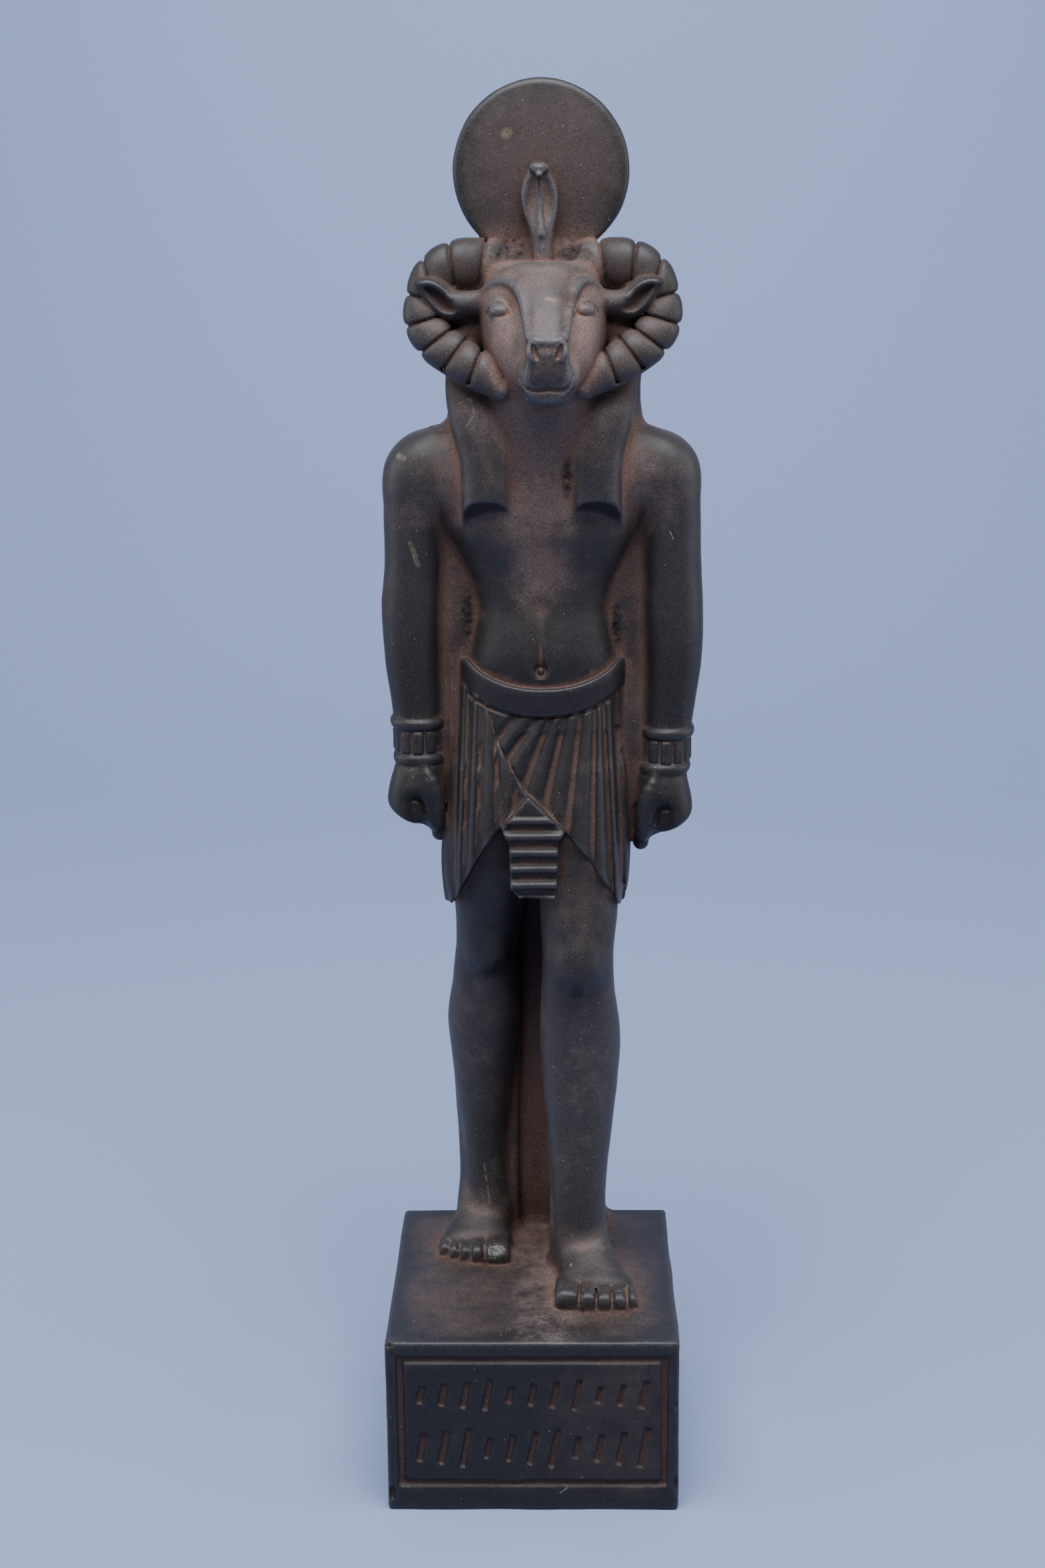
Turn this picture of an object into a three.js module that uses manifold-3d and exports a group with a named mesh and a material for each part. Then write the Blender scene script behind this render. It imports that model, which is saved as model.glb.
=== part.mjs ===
// A striding ram-headed god, cast in one with his plinth, back pillar and sun disc.
// Millimetres, +Z up, the figure faces -Y, +X is at a viewer's right.
// The origin is on the ground, below the middle of the figure and of the plinth's depth.
import * as THREE from "three";
import { mergeVertices } from "three/addons/utils/BufferGeometryUtils.js";
import { RoundedBoxGeometry } from "three/addons/geometries/RoundedBoxGeometry.js";
import Module from "manifold-3d";

const wasm = await Module();
wasm.setup();

// Driving dimensions. The statue is 450 high, and its arms, about 104 across, are its widest
// part. A left-hand side of the figure is at a viewer's right.
const TOTAL_HEIGHT = 450;
const PLINTH = { width: 94, depth: 99.8, height: 60, x: -4.9, edge: 1.8 };
const PANEL = { left: 4, right: 4, top: 5.4, foot: 9, line: 1.6, deep: 0.9 };
const STROKE_ROWS = [
  { z: 41.5, tallest: 11 },
  { z: 22.5, tallest: 14 },
];
const STROKES = { count: 11, wide: 1.8, lean: 11 };
const PILLAR = { width: 50, x: -4, front: 37, back: 49.4, top: 341 };
const WEB = { halfWidth: 40, front: 19, back: 33, foot: 209, top: 330 };
const DISC = { radius: 27.05, thickness: 11.5, x: -0.3, y: 16 };
const HEAD_X = 0.7;
const HORN_RINGS = 9;
const TOE_WIDTHS = [6.6, 5.3, 5, 4.6, 4.3];
// Shares of a foot's length from the toes to the heel, with its half width and height there.
const FOOT_SHAPE = [
  [0, 11.6, 7.4],
  [0.2, 12, 9.6],
  [0.45, 11, 14],
  [0.65, 9.6, 18.5],
  [1, 7.6, 20],
];
const BRACELET = { top: 251.7, height: 15.4, band: 3.6, proud: 1.6, blocks: 14 };
const KILT_ROUND = 2.4;
const BODY_ROUND = 2.3;

// Each station of a limb or trunk is a flat section: height, x, y, half width, reach to the
// front, reach to the back. A smooth curve runs through the stations.
const RIGHT_LEG = [
  [58, -21, 33, 9.6, 10, 10],
  [76, -21.6, 34, 8.4, 9, 10],
  [92, -22, 34, 8.4, 9.2, 10],
  [112, -22, 33, 10, 11, 12],
  [141, -21.2, 31, 12.5, 13.5, 14],
  [158, -20, 28, 11.6, 12.6, 14],
  [172, -19.2, 25, 11.1, 13, 14],
  [190, -17.6, 21, 12.6, 15.5, 16],
  [215, -15.5, 19, 14, 19, 17],
  [240, -13.5, 18, 13, 16, 16],
];
const LEFT_LEG = [
  [58, 11.2, 5, 10, 9, 11],
  [76, 10.9, 4, 9.4, 8.6, 11],
  [92, 10.9, 4.5, 9.6, 9, 12],
  [112, 11.2, 6, 11.6, 10.5, 14],
  [142, 11.7, 8, 13.4, 13, 17],
  [160, 11.2, 6.5, 12.1, 12.5, 16],
  [172, 11.2, 5.5, 11.7, 13.2, 15],
  [190, 11.4, 8, 13, 14.6, 16],
  [215, 11.4, 13, 14, 17.2, 17],
  [240, 12, 18, 13, 16.5, 16],
];
// The kilt's lower edge is two arches that rise from the side corners to the apron.
const HEM = {
  corner: 189.5,
  left: { from: -13, reach: -17.5, high: 218.5, drop: 28.5 },
  right: { from: 6, reach: 20.5, high: 217.5, drop: 28 },
};
const KILT = [
  [187, -2.6, 17, 29.2, 22.6, 21],
  [203, -2.6, 17, 30.8, 23.6, 21],
  [230, -1.6, 17.5, 28.9, 21, 20],
  [257, -0.4, 18, 27.2, 17.6, 19],
  [268, 0, 18, 26.6, 16.4, 18],
];
const TORSO = [
  [250, 0, 18, 26.5, 17, 18],
  [264, 0, 18, 26.6, 17.3, 18],
  [272, 0, 18, 26, 17.8, 18],
  [280, 0, 18, 23.9, 16.8, 18],
  [287, 0, 18, 22.2, 15.4, 18],
  [294, 0, 18, 23.4, 15.4, 18],
  [303, 0, 18, 26.6, 16.8, 18],
  [312, 0, 18, 30.6, 18.2, 18.5],
  [322, 0, 18, 34, 18, 19],
  [334, 0, 18, 38.5, 16.6, 19],
  [343, 0, 18, 38, 14.5, 17],
  [348.5, 0, 19, 29, 12, 15],
];
const BREAST = { x: 14, z: 314.5, proud: 2.8, wide: 9.5, tall: 8 };
const NAVEL = { x: -0.6, y: -0.4, z: 268.6, radius: 2.3, grooveTop: 285 };
const BELT = { foot: 253.8, top: 263.2, rise: 6.2, proud: 1.9 };
const ARM = [
  [224, 40.6, 14, 7.7, 8.5, 9],
  [240, 40.6, 15, 7.7, 9, 9.5],
  [254, 41, 16, 8.3, 10, 10.5],
  [268, 42.5, 17, 8.9, 11, 11.5],
  [285, 42.6, 18, 9.5, 12, 12.5],
  [304, 41.8, 18, 9.3, 12.2, 12.5],
  [320, 41.2, 18, 9.8, 12.8, 13],
  [328, 40.6, 18, 10.2, 13.4, 13.4],
  [334, 39.4, 18, 10.2, 13, 13],
  [339, 37, 18, 9.6, 11.6, 12],
  [342.6, 34, 18, 8, 9, 10],
  [344.8, 30.5, 18, 5, 6, 7],
];
const WRIST_X = 39.4;
const FIST_SLANT = { degrees: 24, z: 206.4 };
const FIST = [
  [206, 41, 14, 5, 6, 7],
  [213, 42, 13, 7.8, 9.4, 10],
  [221, 42.4, 12.5, 9, 10.8, 11],
  [228, 42, 13, 9, 10.4, 10.6],
  [237, 40.8, 14, 7.8, 9, 9.6],
];
const WIG = [
  [332, 0.6, 20, 31, 15, 19],
  [345, 1.2, 20, 31.6, 16, 20.5],
  [353, 1.2, 20, 30.6, 17.5, 21],
  [361, 1, 20, 31, 16, 21],
  [370, 0.7, 20, 33.2, 13.5, 20.5],
  [380, 0.7, 20, 33.6, 13, 19.5],
  [389, 0.7, 19, 31, 12, 18],
  [397, 0.7, 18, 22, 10, 14],
  [402, 0.7, 17, 12, 6, 8],
];
const LAPPET = [
  [310, 17.3, 2, 7.7, 7, 5],
  [322, 17.3, 2.4, 7.7, 8.4, 5],
  [336, 17.6, 3, 7.9, 8.6, 6],
  [346, 19.8, 4, 8.6, 9, 6],
  [358, 21, 6, 9, 8.6, 6],
];
const LAPPET_CUT = { z: 318.6, tilt: 38 };
const THROAT = [
  [334, 0, 6, 12, 7.6, 8],
  [344, 0, 6, 12.5, 10.6, 8],
  [352, 0, 6, 13, 15, 8],
  [360, 0, 6, 14, 18, 8],
];
const SKULL = [
  [352, 0, 8, 9.5, 15, 12],
  [358, 0, 8, 12.5, 18, 12],
  [364, 0, 8, 15.6, 19, 12],
  [371, 0, 8, 18.2, 18.6, 12],
  [379, 0, 8, 19.2, 17.6, 12],
  [387.5, 0, 8, 18.4, 15.4, 12],
  [393, 0, 8, 16.4, 12.6, 12],
  [396.6, 0, 8, 12.4, 8, 12],
];
// The muzzle's axis runs forward and down from the brow, and its stations are counted along it.
const MUZZLE = { slope: 38, y: -1, z: 384.5 };
const MUZZLE_STATIONS = [
  [-4, 0, 0, 11, 9, 12],
  [8, 0.3, 0, 9.4, 8.4, 12],
  [19, 0.7, 0, 8.2, 7.8, 11],
  [26, 1, 0, 8.6, 7, 9.8],
  [31, 1.2, 0, 9, 6, 8.2],
  [34.5, 1.2, 0, 8, 4.6, 5.6],
  [36, 1.2, 0, 6, 3, 3.4],
];
const URAEUS = [
  [394, 0.6, 7.5, 3.5, 5.6, 6],
  [401, 0.7, 7.2, 3.3, 5, 6],
  [408, 0.4, 6.4, 3.8, 3.4, 6],
  [416, -0.2, 6.2, 5.6, 2.4, 6],
  [421, -0.2, 6.6, 4.6, 2.2, 6],
  [424.6, -0.2, 7.4, 2.4, 1.6, 5],
];
// The horn's line, from its root over the ear and round to the cheek: x, y, z, radius.
const HORN = [
  [9, 14, 395, 7.8],
  [19, 11.5, 394.6, 8.4],
  [27.2, 9, 394.6, 7.8],
  [33.4, 7.5, 391, 7],
  [36.6, 5.8, 385, 6.2],
  [36.4, 3.8, 378, 6.2],
  [32.4, 1.4, 372, 6.3],
  [26, -1.6, 367.4, 6.2],
  [19, -5, 363, 5.4],
  [13, -8, 356.8, 2.6],
];
// The apron's outline in the front view, and the rolls across it: height, middle, half width.
const APRON = [
  [-4.9, 228.6],
  [-13.6, 218.6],
  [-11.2, 214],
  [-10.7, 198.4],
  [-8.6, 195.4],
  [4, 195],
  [4.6, 214],
  [6.4, 217.4],
];
const APRON_FRONT = -7.2;
const APRON_ROLLS = [
  [222, -4.4, 4],
  [216.6, -3.6, 8.6],
  [211, -3.1, 7.6],
  [205.4, -3.1, 7.6],
  [199.8, -3.1, 7.6],
];
// How far a Boolean sliver may be moved when the finished solid is simplified.
const SLIVER = 0.12;
// The kilt's lap runs in a straight edge from the belt to the apron: x, z down the front.
const LAP_EDGE = [
  [-18.6, 262],
  [-18, 256],
  [-4.9, 228.5],
  [6.4, 217.5],
];
// The grooves between its folds, from the belt down: x, z at the top, then x, z at the foot.
const LAP_FOLDS = [
  [-27.9, 262, -29.4, 202],
  [-23.6, 262, -26.4, 200],
  [-19.6, 262, -21.6, 209],
  [-15.2, 245.5, -14.4, 218],
  [-9.9, 233.6, -9.1, 225],
];
const FAN_FOLDS = [
  [-9.7, 255, -14.3, 247.4],
  [-2.6, 255, -11.2, 240.9],
  [1.6, 255, -5.9, 232.5],
  [6.5, 255, 0.5, 225.1],
  [11.7, 256, 7.8, 217],
  [16.8, 258, 15.7, 206],
  [19.6, 259, 22.2, 197],
  [23.3, 260, 25.8, 190],
];

// A closed geometry's positions as a solid for cutting and joining.
function solid(geometry) {
  const bare = geometry.index ? geometry.toNonIndexed() : geometry.clone();
  bare.deleteAttribute("normal");
  bare.deleteAttribute("uv");
  const merged = mergeVertices(bare, 1e-3);
  const made = new wasm.Manifold(
    new wasm.Mesh({
      numProp: 3,
      vertProperties: merged.attributes.position.array,
      triVerts: new Uint32Array(merged.index.array),
    }),
  );
  if (made.isEmpty()) throw new Error("a solid is empty");
  if (made.volume() < 0) throw new Error("a solid is inside out");
  return made;
}

function join(solids) {
  return solids.reduce((whole, next) => whole.add(next));
}

// Every column of a station list at one height, on a smooth curve through the stations.
function sectionAt(stations, height) {
  const last = stations.length - 1;
  const z = THREE.MathUtils.clamp(height, stations[0][0], stations[last][0]);
  let i = 0;
  while (i < last - 1 && z > stations[i + 1][0]) i += 1;
  const slope = (k, column) => {
    const a = stations[Math.max(k - 1, 0)];
    const b = stations[Math.min(k + 1, last)];
    return (b[column] - a[column]) / (b[0] - a[0]);
  };
  const low = stations[i];
  const high = stations[i + 1];
  const span = high[0] - low[0];
  const t = (z - low[0]) / span;
  const keepLow = 2 * t ** 3 - 3 * t ** 2 + 1;
  const leaveLow = (t ** 3 - 2 * t ** 2 + t) * span;
  const reachHigh = (t ** 3 - t ** 2) * span;
  return low.map(
    (value, column) =>
      keepLow * value +
      leaveLow * slope(i, column) +
      (1 - keepLow) * high[column] +
      reachHigh * slope(i + 1, column),
  );
}

// A point of a unit outline at an angle. A roundness of 2 is a circle, and more fills the
// corners.
function roundAt(angle, roundness) {
  const bend = (v) => Math.sign(v) * Math.abs(v) ** (2 / roundness);
  return [bend(Math.cos(angle)), bend(Math.sin(angle))];
}

// A skin wrapped round the stations, from one height to another, each of which may change
// round the body. The cylinder's vertices are moved out to the sections, and its rows stand
// closer to the top where crowded is over 1.
function wrap(stations, options = {}) {
  const {
    sides = 16,
    rows = 10,
    roundness = BODY_ROUND,
    from = () => stations[0][0],
    to = () => stations[stations.length - 1][0],
    proud = () => 0,
    crowded = 1,
  } = options;
  const geometry = new THREE.CylinderGeometry(1, 1, 1, sides, rows);
  geometry.rotateX(Math.PI / 2);
  const angles = Array.from({ length: sides }, (_, i) => (i / sides) * 2 * Math.PI);
  const mean = (height) => angles.reduce((sum, a) => sum + height(a), 0) / sides;
  const ends = [mean(from), mean(to)];
  const position = geometry.attributes.position;
  for (let i = 0; i < position.count; i += 1) {
    const x = position.getX(i);
    const y = position.getY(i);
    const share = 1 - (0.5 - position.getZ(i)) ** crowded;
    if (Math.hypot(x, y) < 0.5) {
      const z = ends[Math.round(share)];
      const [, centreX, centreY] = sectionAt(stations, z);
      position.setXYZ(i, centreX, centreY, z);
      continue;
    }
    const angle = Math.atan2(y, x);
    const z = THREE.MathUtils.lerp(from(angle), to(angle), share);
    const [, centreX, centreY, halfWidth, front, back] = sectionAt(stations, z);
    const [across, along] = roundAt(angle, roundness);
    const extra = proud(angle, z);
    position.setXYZ(
      i,
      centreX + (halfWidth + extra) * across,
      centreY + ((along < 0 ? front : back) + extra) * along,
      z,
    );
  }
  return geometry;
}

// A bar along a line of [x, y, z, radius] points, closed at both ends. Its rings stand at the
// given shares of the line, each with its own factor on the radius.
function bar(points, rings, sides, roundness = 2) {
  const line = new THREE.CatmullRomCurve3(points.map((p) => new THREE.Vector3(...p)));
  const geometry = new THREE.CylinderGeometry(1, 1, 1, sides, rings.length - 1);
  const position = geometry.attributes.position;
  const depthwise = new THREE.Vector3(0, 1, 0);
  for (let i = 0; i < position.count; i += 1) {
    const row = Math.round((0.5 - position.getY(i)) * (rings.length - 1));
    const [share, factor] = rings[row];
    const along = share * (points.length - 1);
    const k = Math.min(Math.floor(along), points.length - 2);
    const radius =
      factor * THREE.MathUtils.lerp(points[k][3], points[k + 1][3], along - k);
    const place = line.getPoint(share);
    const direction = line.getTangent(share);
    const side = new THREE.Vector3().crossVectors(depthwise, direction).normalize();
    const up = new THREE.Vector3().crossVectors(direction, side).normalize();
    const x = position.getX(i);
    const y = position.getZ(i);
    if (Math.hypot(x, y) > 0.5) {
      const [a, b] = roundAt(Math.atan2(y, x), roundness);
      place.addScaledVector(side, radius * a);
      place.addScaledVector(up, radius * b);
    }
    position.setXYZ(i, place.x, place.y, place.z);
  }
  return geometry;
}

function evenRings(count) {
  return Array.from({ length: count + 1 }, (_, i) => [i / count, 1]);
}

function ball(x, y, z, rx, ry, rz, across = 12, high = 8) {
  const geometry = new THREE.SphereGeometry(1, across, high);
  geometry.rotateX(Math.PI / 2);
  geometry.scale(rx, ry, rz);
  return geometry.translate(x, y, z);
}

function block(x0, x1, y0, y1, z0, z1) {
  const geometry = new THREE.BoxGeometry(x1 - x0, y1 - y0, z1 - z0);
  return geometry.translate((x0 + x1) / 2, (y0 + y1) / 2, (z0 + z1) / 2);
}

// A flat plate whose outline is drawn in the front view, from y0 back to y1.
function plate(outline, y0, y1) {
  const shape = new THREE.Shape(outline.map(([x, z]) => new THREE.Vector2(x, z)));
  const geometry = new THREE.ExtrudeGeometry(shape, {
    depth: y1 - y0,
    bevelEnabled: false,
  });
  geometry.rotateX(Math.PI / 2);
  return geometry.translate(0, y1, 0);
}

// The same stations at the other side of the figure, or lowered.
function placed(stations, side, lowered = 0) {
  return stations.map(([z, x, ...rest]) => [z - lowered, side * x, ...rest]);
}

// The plinth, with a sunk border line on its front and two rows of short strokes inside it.
function plinth() {
  const { width, depth, height, x, edge } = PLINTH;
  const geometry = new RoundedBoxGeometry(width, depth, height, 1, edge);
  geometry.translate(x, 0, height / 2);
  const face = -depth / 2;
  const { line, deep } = PANEL;
  const left = x - width / 2 + PANEL.left;
  const right = x + width / 2 - PANEL.right;
  const top = height - PANEL.top;
  const cut = (x0, x1, z0, z1) => block(x0, x1, face - 1, face + deep, z0, z1);
  const border = [
    cut(left, right, PANEL.foot, PANEL.foot + line),
    cut(left, right, top - line, top),
    cut(left, left + line, PANEL.foot, top),
    cut(right - line, right, PANEL.foot, top),
  ];
  const strokes = [];
  for (const row of STROKE_ROWS) {
    const pitch = (right - left - 6) / STROKES.count;
    for (let i = 0; i < STROKES.count; i += 1) {
      const tall = row.tallest * (1 - 0.15 * ((i * 3 + row.tallest) % 4));
      const stroke = new THREE.BoxGeometry(STROKES.wide, 2 * deep, tall);
      stroke.rotateY(THREE.MathUtils.degToRad(STROKES.lean));
      strokes.push(stroke.translate(left + 3 + pitch * (i + 0.5), face, row.z));
    }
  }
  return solid(geometry).subtract(join([...border, ...strokes].map(solid)));
}

function leg(stations) {
  return solid(wrap(stations, { sides: 14, rows: 10, roundness: 2.15 }));
}

// One foot: a wedge that rises to the ankle, with five toes whose big one is on the inner side.
function foot(heel, toes, outward) {
  const ground = PLINTH.height - 1;
  const length = heel.y - toes.y - 6;
  const instep = FOOT_SHAPE.map(([share, halfWidth, high]) => [
    share * length,
    0,
    0,
    halfWidth,
    high,
    1,
  ]);
  const body = wrap(instep, { sides: 12, rows: 4, roundness: 2.4 });
  body.rotateX(-Math.PI / 2);
  const position = body.attributes.position;
  for (let i = 0; i < position.count; i += 1) {
    const along = position.getY(i);
    const x = THREE.MathUtils.lerp(toes.x, heel.x, along / length);
    position.setXYZ(
      i,
      x + position.getX(i),
      toes.y + 6 + along,
      ground + position.getZ(i),
    );
  }
  const parts = [solid(body)];
  const total = TOE_WIDTHS.reduce((sum, wide) => sum + wide, 0);
  let edge = toes.x - (outward * total) / 2;
  TOE_WIDTHS.forEach((wide, i) => {
    const x = edge + (outward * wide) / 2;
    edge += outward * wide;
    const reach = 8.5 - 0.4 * i;
    const y = toes.y + 1 * i + reach;
    const high = 7.6 - 0.7 * i;
    parts.push(solid(ball(x, y, ground, wide / 1.8, reach, high, 8, 4)));
  });
  return join(parts);
}

// The kilt's lower edge at one x across its front, then at one angle round it.
function hem(x) {
  const arch = x < 0 ? HEM.left : HEM.right;
  const share = THREE.MathUtils.clamp((x - arch.from) / arch.reach, 0, 1);
  return arch.high - arch.drop * share ** 1.3;
}

function hemRound(angle) {
  const [across, along] = roundAt(angle, KILT_ROUND);
  if (along >= 0) return HEM.corner;
  const [, x, , halfWidth] = sectionAt(KILT, 203);
  return Math.max(HEM.corner, hem(x + halfWidth * across));
}

// A point on the front of the kilt, so far outside its skin.
function onKilt(x, z, proud) {
  const [, centreX, centreY, halfWidth, front] = sectionAt(KILT, z);
  const across = Math.min(Math.abs(x - centreX) / halfWidth, 0.995);
  const bulge = (1 - across ** KILT_ROUND) ** (1 / KILT_ROUND);
  return [x, centreY - (front + proud) * bulge, z];
}

// A narrow groove down the front of the kilt, from its belt end to its foot.
function fold([x0, z0, x1, z1], proud) {
  const points = [0, 0.35, 0.7, 1].map((share) => {
    const x = THREE.MathUtils.lerp(x0, x1, share);
    const z = THREE.MathUtils.lerp(z0, z1, share);
    return [...onKilt(x, z, proud), 1.15];
  });
  return solid(bar(points, evenRings(2), 4));
}

// The kilt: one skirt, with its left panel lapped over the right along a slanting edge.
// Grooves part its folds, and they fan out above the lap.
function kilt() {
  const skin = (proud, from) =>
    solid(wrap(KILT, { sides: 24, rows: 4, roundness: KILT_ROUND, from, proud }));
  const skirt = skin(() => 0, hemRound);
  const lapping = skin(() => 0.8, (angle) => hemRound(angle) - 0.4);
  const keep = plate(
    [...LAP_EDGE, [-13, 216], [-13, 180], [-40, 180], [-40, 262]],
    -20,
    17,
  );
  const lap = lapping.intersect(solid(keep));
  const sideFolds = [0.3, 7.7, 15.1].flatMap((y) =>
    [-1, 1].map((side) => {
      const line = [260, 232, 206].map((z) => {
        const [, x, , halfWidth] = sectionAt(KILT, z);
        return [x + side * (halfWidth - 0.2), y, z, 1];
      });
      const points = [...line, [...line[2].slice(0, 2), 188, 1]];
      return solid(bar(points, evenRings(2), 3));
    }),
  );
  return skirt
    .subtract(join(FAN_FOLDS.map((line) => fold(line, 0))))
    .add(lap)
    .subtract(join(LAP_FOLDS.map((line) => fold(line, 0.9))))
    .subtract(join(sideFolds));
}

// The belt, a plain band that dips at the front.
function belt() {
  const rise = (angle) => BELT.rise * (Math.sin(angle) > 0 ? 1 : Math.cos(angle) ** 2);
  return solid(
    wrap(TORSO, {
      sides: 28,
      rows: 2,
      from: (angle) => BELT.foot + rise(angle),
      to: (angle) => BELT.top + rise(angle),
      proud: () => BELT.proud,
    }),
  );
}

// The apron: a peaked tongue that hangs from the lap, crossed by rolls.
function apron() {
  const rolls = APRON_ROLLS.map(([z, middle, half]) => {
    const geometry = new THREE.CylinderGeometry(1.9, 1.9, 2 * half, 8);
    geometry.rotateZ(Math.PI / 2);
    return solid(geometry.translate(middle, APRON_FRONT + 0.5, z));
  });
  return join([solid(plate(APRON, APRON_FRONT, 6)), ...rolls]);
}

// The trunk, with its two breast muscles, and the navel at the foot of its groove.
function torso() {
  const breasts = (angle, z) => {
    const [across, along] = roundAt(angle, BODY_ROUND);
    if (along >= 0) return 0;
    const [, , , halfWidth] = sectionAt(TORSO, z);
    const aside = (Math.abs(halfWidth * across) - BREAST.x) / BREAST.wide;
    const above = (z - BREAST.z) / BREAST.tall;
    return BREAST.proud * Math.exp(-(aside ** 2) - above ** 2);
  };
  const trunk = solid(wrap(TORSO, { sides: 20, rows: 11, proud: breasts }));
  const { x, y, z, radius, grooveTop } = NAVEL;
  const hole = solid(ball(x, y, z, radius, 2, radius, 8, 6));
  const middle = (z + grooveTop) / 2;
  const groove = solid(ball(x, y, middle, 1.1, 1.6, (grooveTop - z) / 2, 6, 6));
  return trunk.subtract(hole).subtract(groove);
}

// An arm that hangs at the side from its shoulder, with a bracelet of blocks between two bands
// and a closed hand. The lower end of one arm hangs lower and nearer to the body.
function arm(side, lowered, tucked) {
  const tuck = (stations) =>
    placed(stations, side).map(([z, x, ...rest]) => {
      const share = THREE.MathUtils.clamp((258 - z) / 20, 0, 1);
      return [z, x - side * tucked * share, ...rest];
    });
  const limb = tuck(ARM);
  const top = BRACELET.top - lowered;
  const parts = [
    solid(wrap(limb, { sides: 12, rows: 8, from: () => top - 2, crowded: 1.8 })),
  ];
  const foot = top - BRACELET.height;
  const ring = (low, high, proud, sides) =>
    solid(wrap(limb, { sides, rows: 1, from: () => low, to: () => high, proud }));
  const blocks = (angle) => {
    const turn = (angle / (2 * Math.PI)) * BRACELET.blocks + BRACELET.blocks;
    return Math.abs((turn % 1) - 0.5) < 0.25 ? 1.2 : 0.4;
  };
  parts.push(ring(top - BRACELET.band, top, () => BRACELET.proud, 12));
  parts.push(ring(foot, foot + BRACELET.band, () => BRACELET.proud, 12));
  parts.push(ring(foot + 1, top - 1, blocks, BRACELET.blocks * 2));
  const near = (inward) => side * (WRIST_X + 3 - tucked - inward);
  const hand = placed(FIST, side, lowered).map(([z, x, ...rest]) => [
    z,
    x - side * tucked,
    ...rest,
  ]);
  const slant = new THREE.BoxGeometry(40, 60, 20);
  slant.rotateY(side * THREE.MathUtils.degToRad(-FIST_SLANT.degrees));
  slant.translate(near(0), 12, FIST_SLANT.z - lowered);
  const thumb = bar(
    [
      [near(-1), 4.4, 233 - lowered, 2.4],
      [near(4), 2.6, 229 - lowered, 3],
      [near(6.8), 3.2, 220 - lowered, 2.8],
      [near(7), 4.8, 212 - lowered, 2.3],
    ],
    [[0, 0.5], [0.12, 1], [0.35, 1], [0.6, 1], [0.85, 1], [1, 0.6]],
    6,
  );
  const grip = solid(ball(near(0.4), 2.6, 221.6 - lowered, 2.2, 4, 3, 8, 6));
  const fist = solid(wrap(hand, { sides: 12, rows: 4, roundness: 2.7 }))
    .subtract(solid(slant))
    .subtract(grip)
    .add(solid(thumb));
  return join([...parts, fist]);
}

// The wig: a full mass behind the head, and two lappets on the breast, cut off on the slant.
function wig() {
  const mass = solid(wrap(WIG, { sides: 18, rows: 8 }));
  const lappets = [-1, 1].map((side) => {
    const under = new THREE.BoxGeometry(24, 40, 20);
    under.translate(0, 0, -10);
    under.rotateX(THREE.MathUtils.degToRad(-LAPPET_CUT.tilt));
    under.translate(side * 17, 0, LAPPET_CUT.z);
    const lock = wrap(placed(LAPPET, side), { sides: 10, rows: 4, roundness: 2.4 });
    return solid(lock).subtract(solid(under));
  });
  return join([mass, ...lappets, solid(wrap(THROAT, { sides: 10, rows: 2 }))]);
}

// The ram's face: a broad skull, a sloping muzzle with a flat bridge, nostrils, a mouth line,
// round eyes under heavy lids, and brows that run down into the bridge.
function face() {
  const skull = solid(wrap(SKULL, { sides: 14, rows: 7, roundness: 2.5 }));
  const muzzle = wrap(MUZZLE_STATIONS, { sides: 12, rows: 6, roundness: 2.7 });
  muzzle.rotateX(THREE.MathUtils.degToRad(90 + MUZZLE.slope));
  muzzle.translate(0, MUZZLE.y, MUZZLE.z);
  let made = skull.add(solid(muzzle));
  for (const side of [-1, 1]) {
    const socket = solid(ball(side * 13.6, -11, 382.6, 4.4, 3.2, 3.2, 8, 6));
    const eye = solid(ball(side * 13.4, -6.4, 382.2, 2.6, 3, 2.3, 8, 6));
    const lid = bar(
      [
        [side * 9.8, -7.6, 382.8, 0.8],
        [side * 12.6, -8.4, 384.8, 1.2],
        [side * 15.6, -7.4, 385, 1.2],
        [side * 18, -4.6, 383.2, 0.8],
      ],
      evenRings(3),
      5,
    );
    const brow = bar(
      [
        [side * 17.6, -1.4, 387.2, 1.4],
        [side * 13.6, -4.6, 389.6, 2.6],
        [side * 9, -8, 387, 2.6],
        [side * 6, -13.2, 380.8, 2.2],
        [side * 5, -21, 374.8, 2],
      ],
      evenRings(5),
      5,
    );
    made = made.subtract(socket).add(eye).add(solid(lid)).add(solid(brow));
  }
  const lips = solid(ball(1.2, -24, 363.6, 9.4, 9, 7.8, 10, 6));
  const nostrils = [-1, 1].map((side) =>
    solid(ball(1.2 + side * 4, -31, 369.6, 1.1, 3.4, 2.4, 6, 4)),
  );
  const mouth = solid(block(-5.4, 7.8, -34, -28, 358.3, 359.2));
  return made.add(lips).subtract(join([...nostrils, mouth]));
}

// One ear: a leaf set forward of the horn, hollowed on its front.
function ear(side) {
  const leaf = (rx, ry, rz) => {
    const geometry = new THREE.SphereGeometry(1, 10, 6);
    geometry.scale(rx, ry, rz);
    return geometry.rotateY(side * THREE.MathUtils.degToRad(-36));
  };
  const outer = leaf(8.6, 4.6, 4.8).translate(side * 30.8, 0.4, 386.4);
  const inner = leaf(6.2, 4, 2.9).translate(side * 31.2, -3.2, 386.6);
  const root = bar(
    [
      [side * 17, 2, 383.4, 4],
      [side * 22.5, 1.4, 383.8, 3.2],
      [side * 27, 1.2, 384.8, 2.8],
    ],
    evenRings(1),
    7,
  );
  return solid(outer).add(solid(root)).subtract(solid(inner));
}

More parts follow.
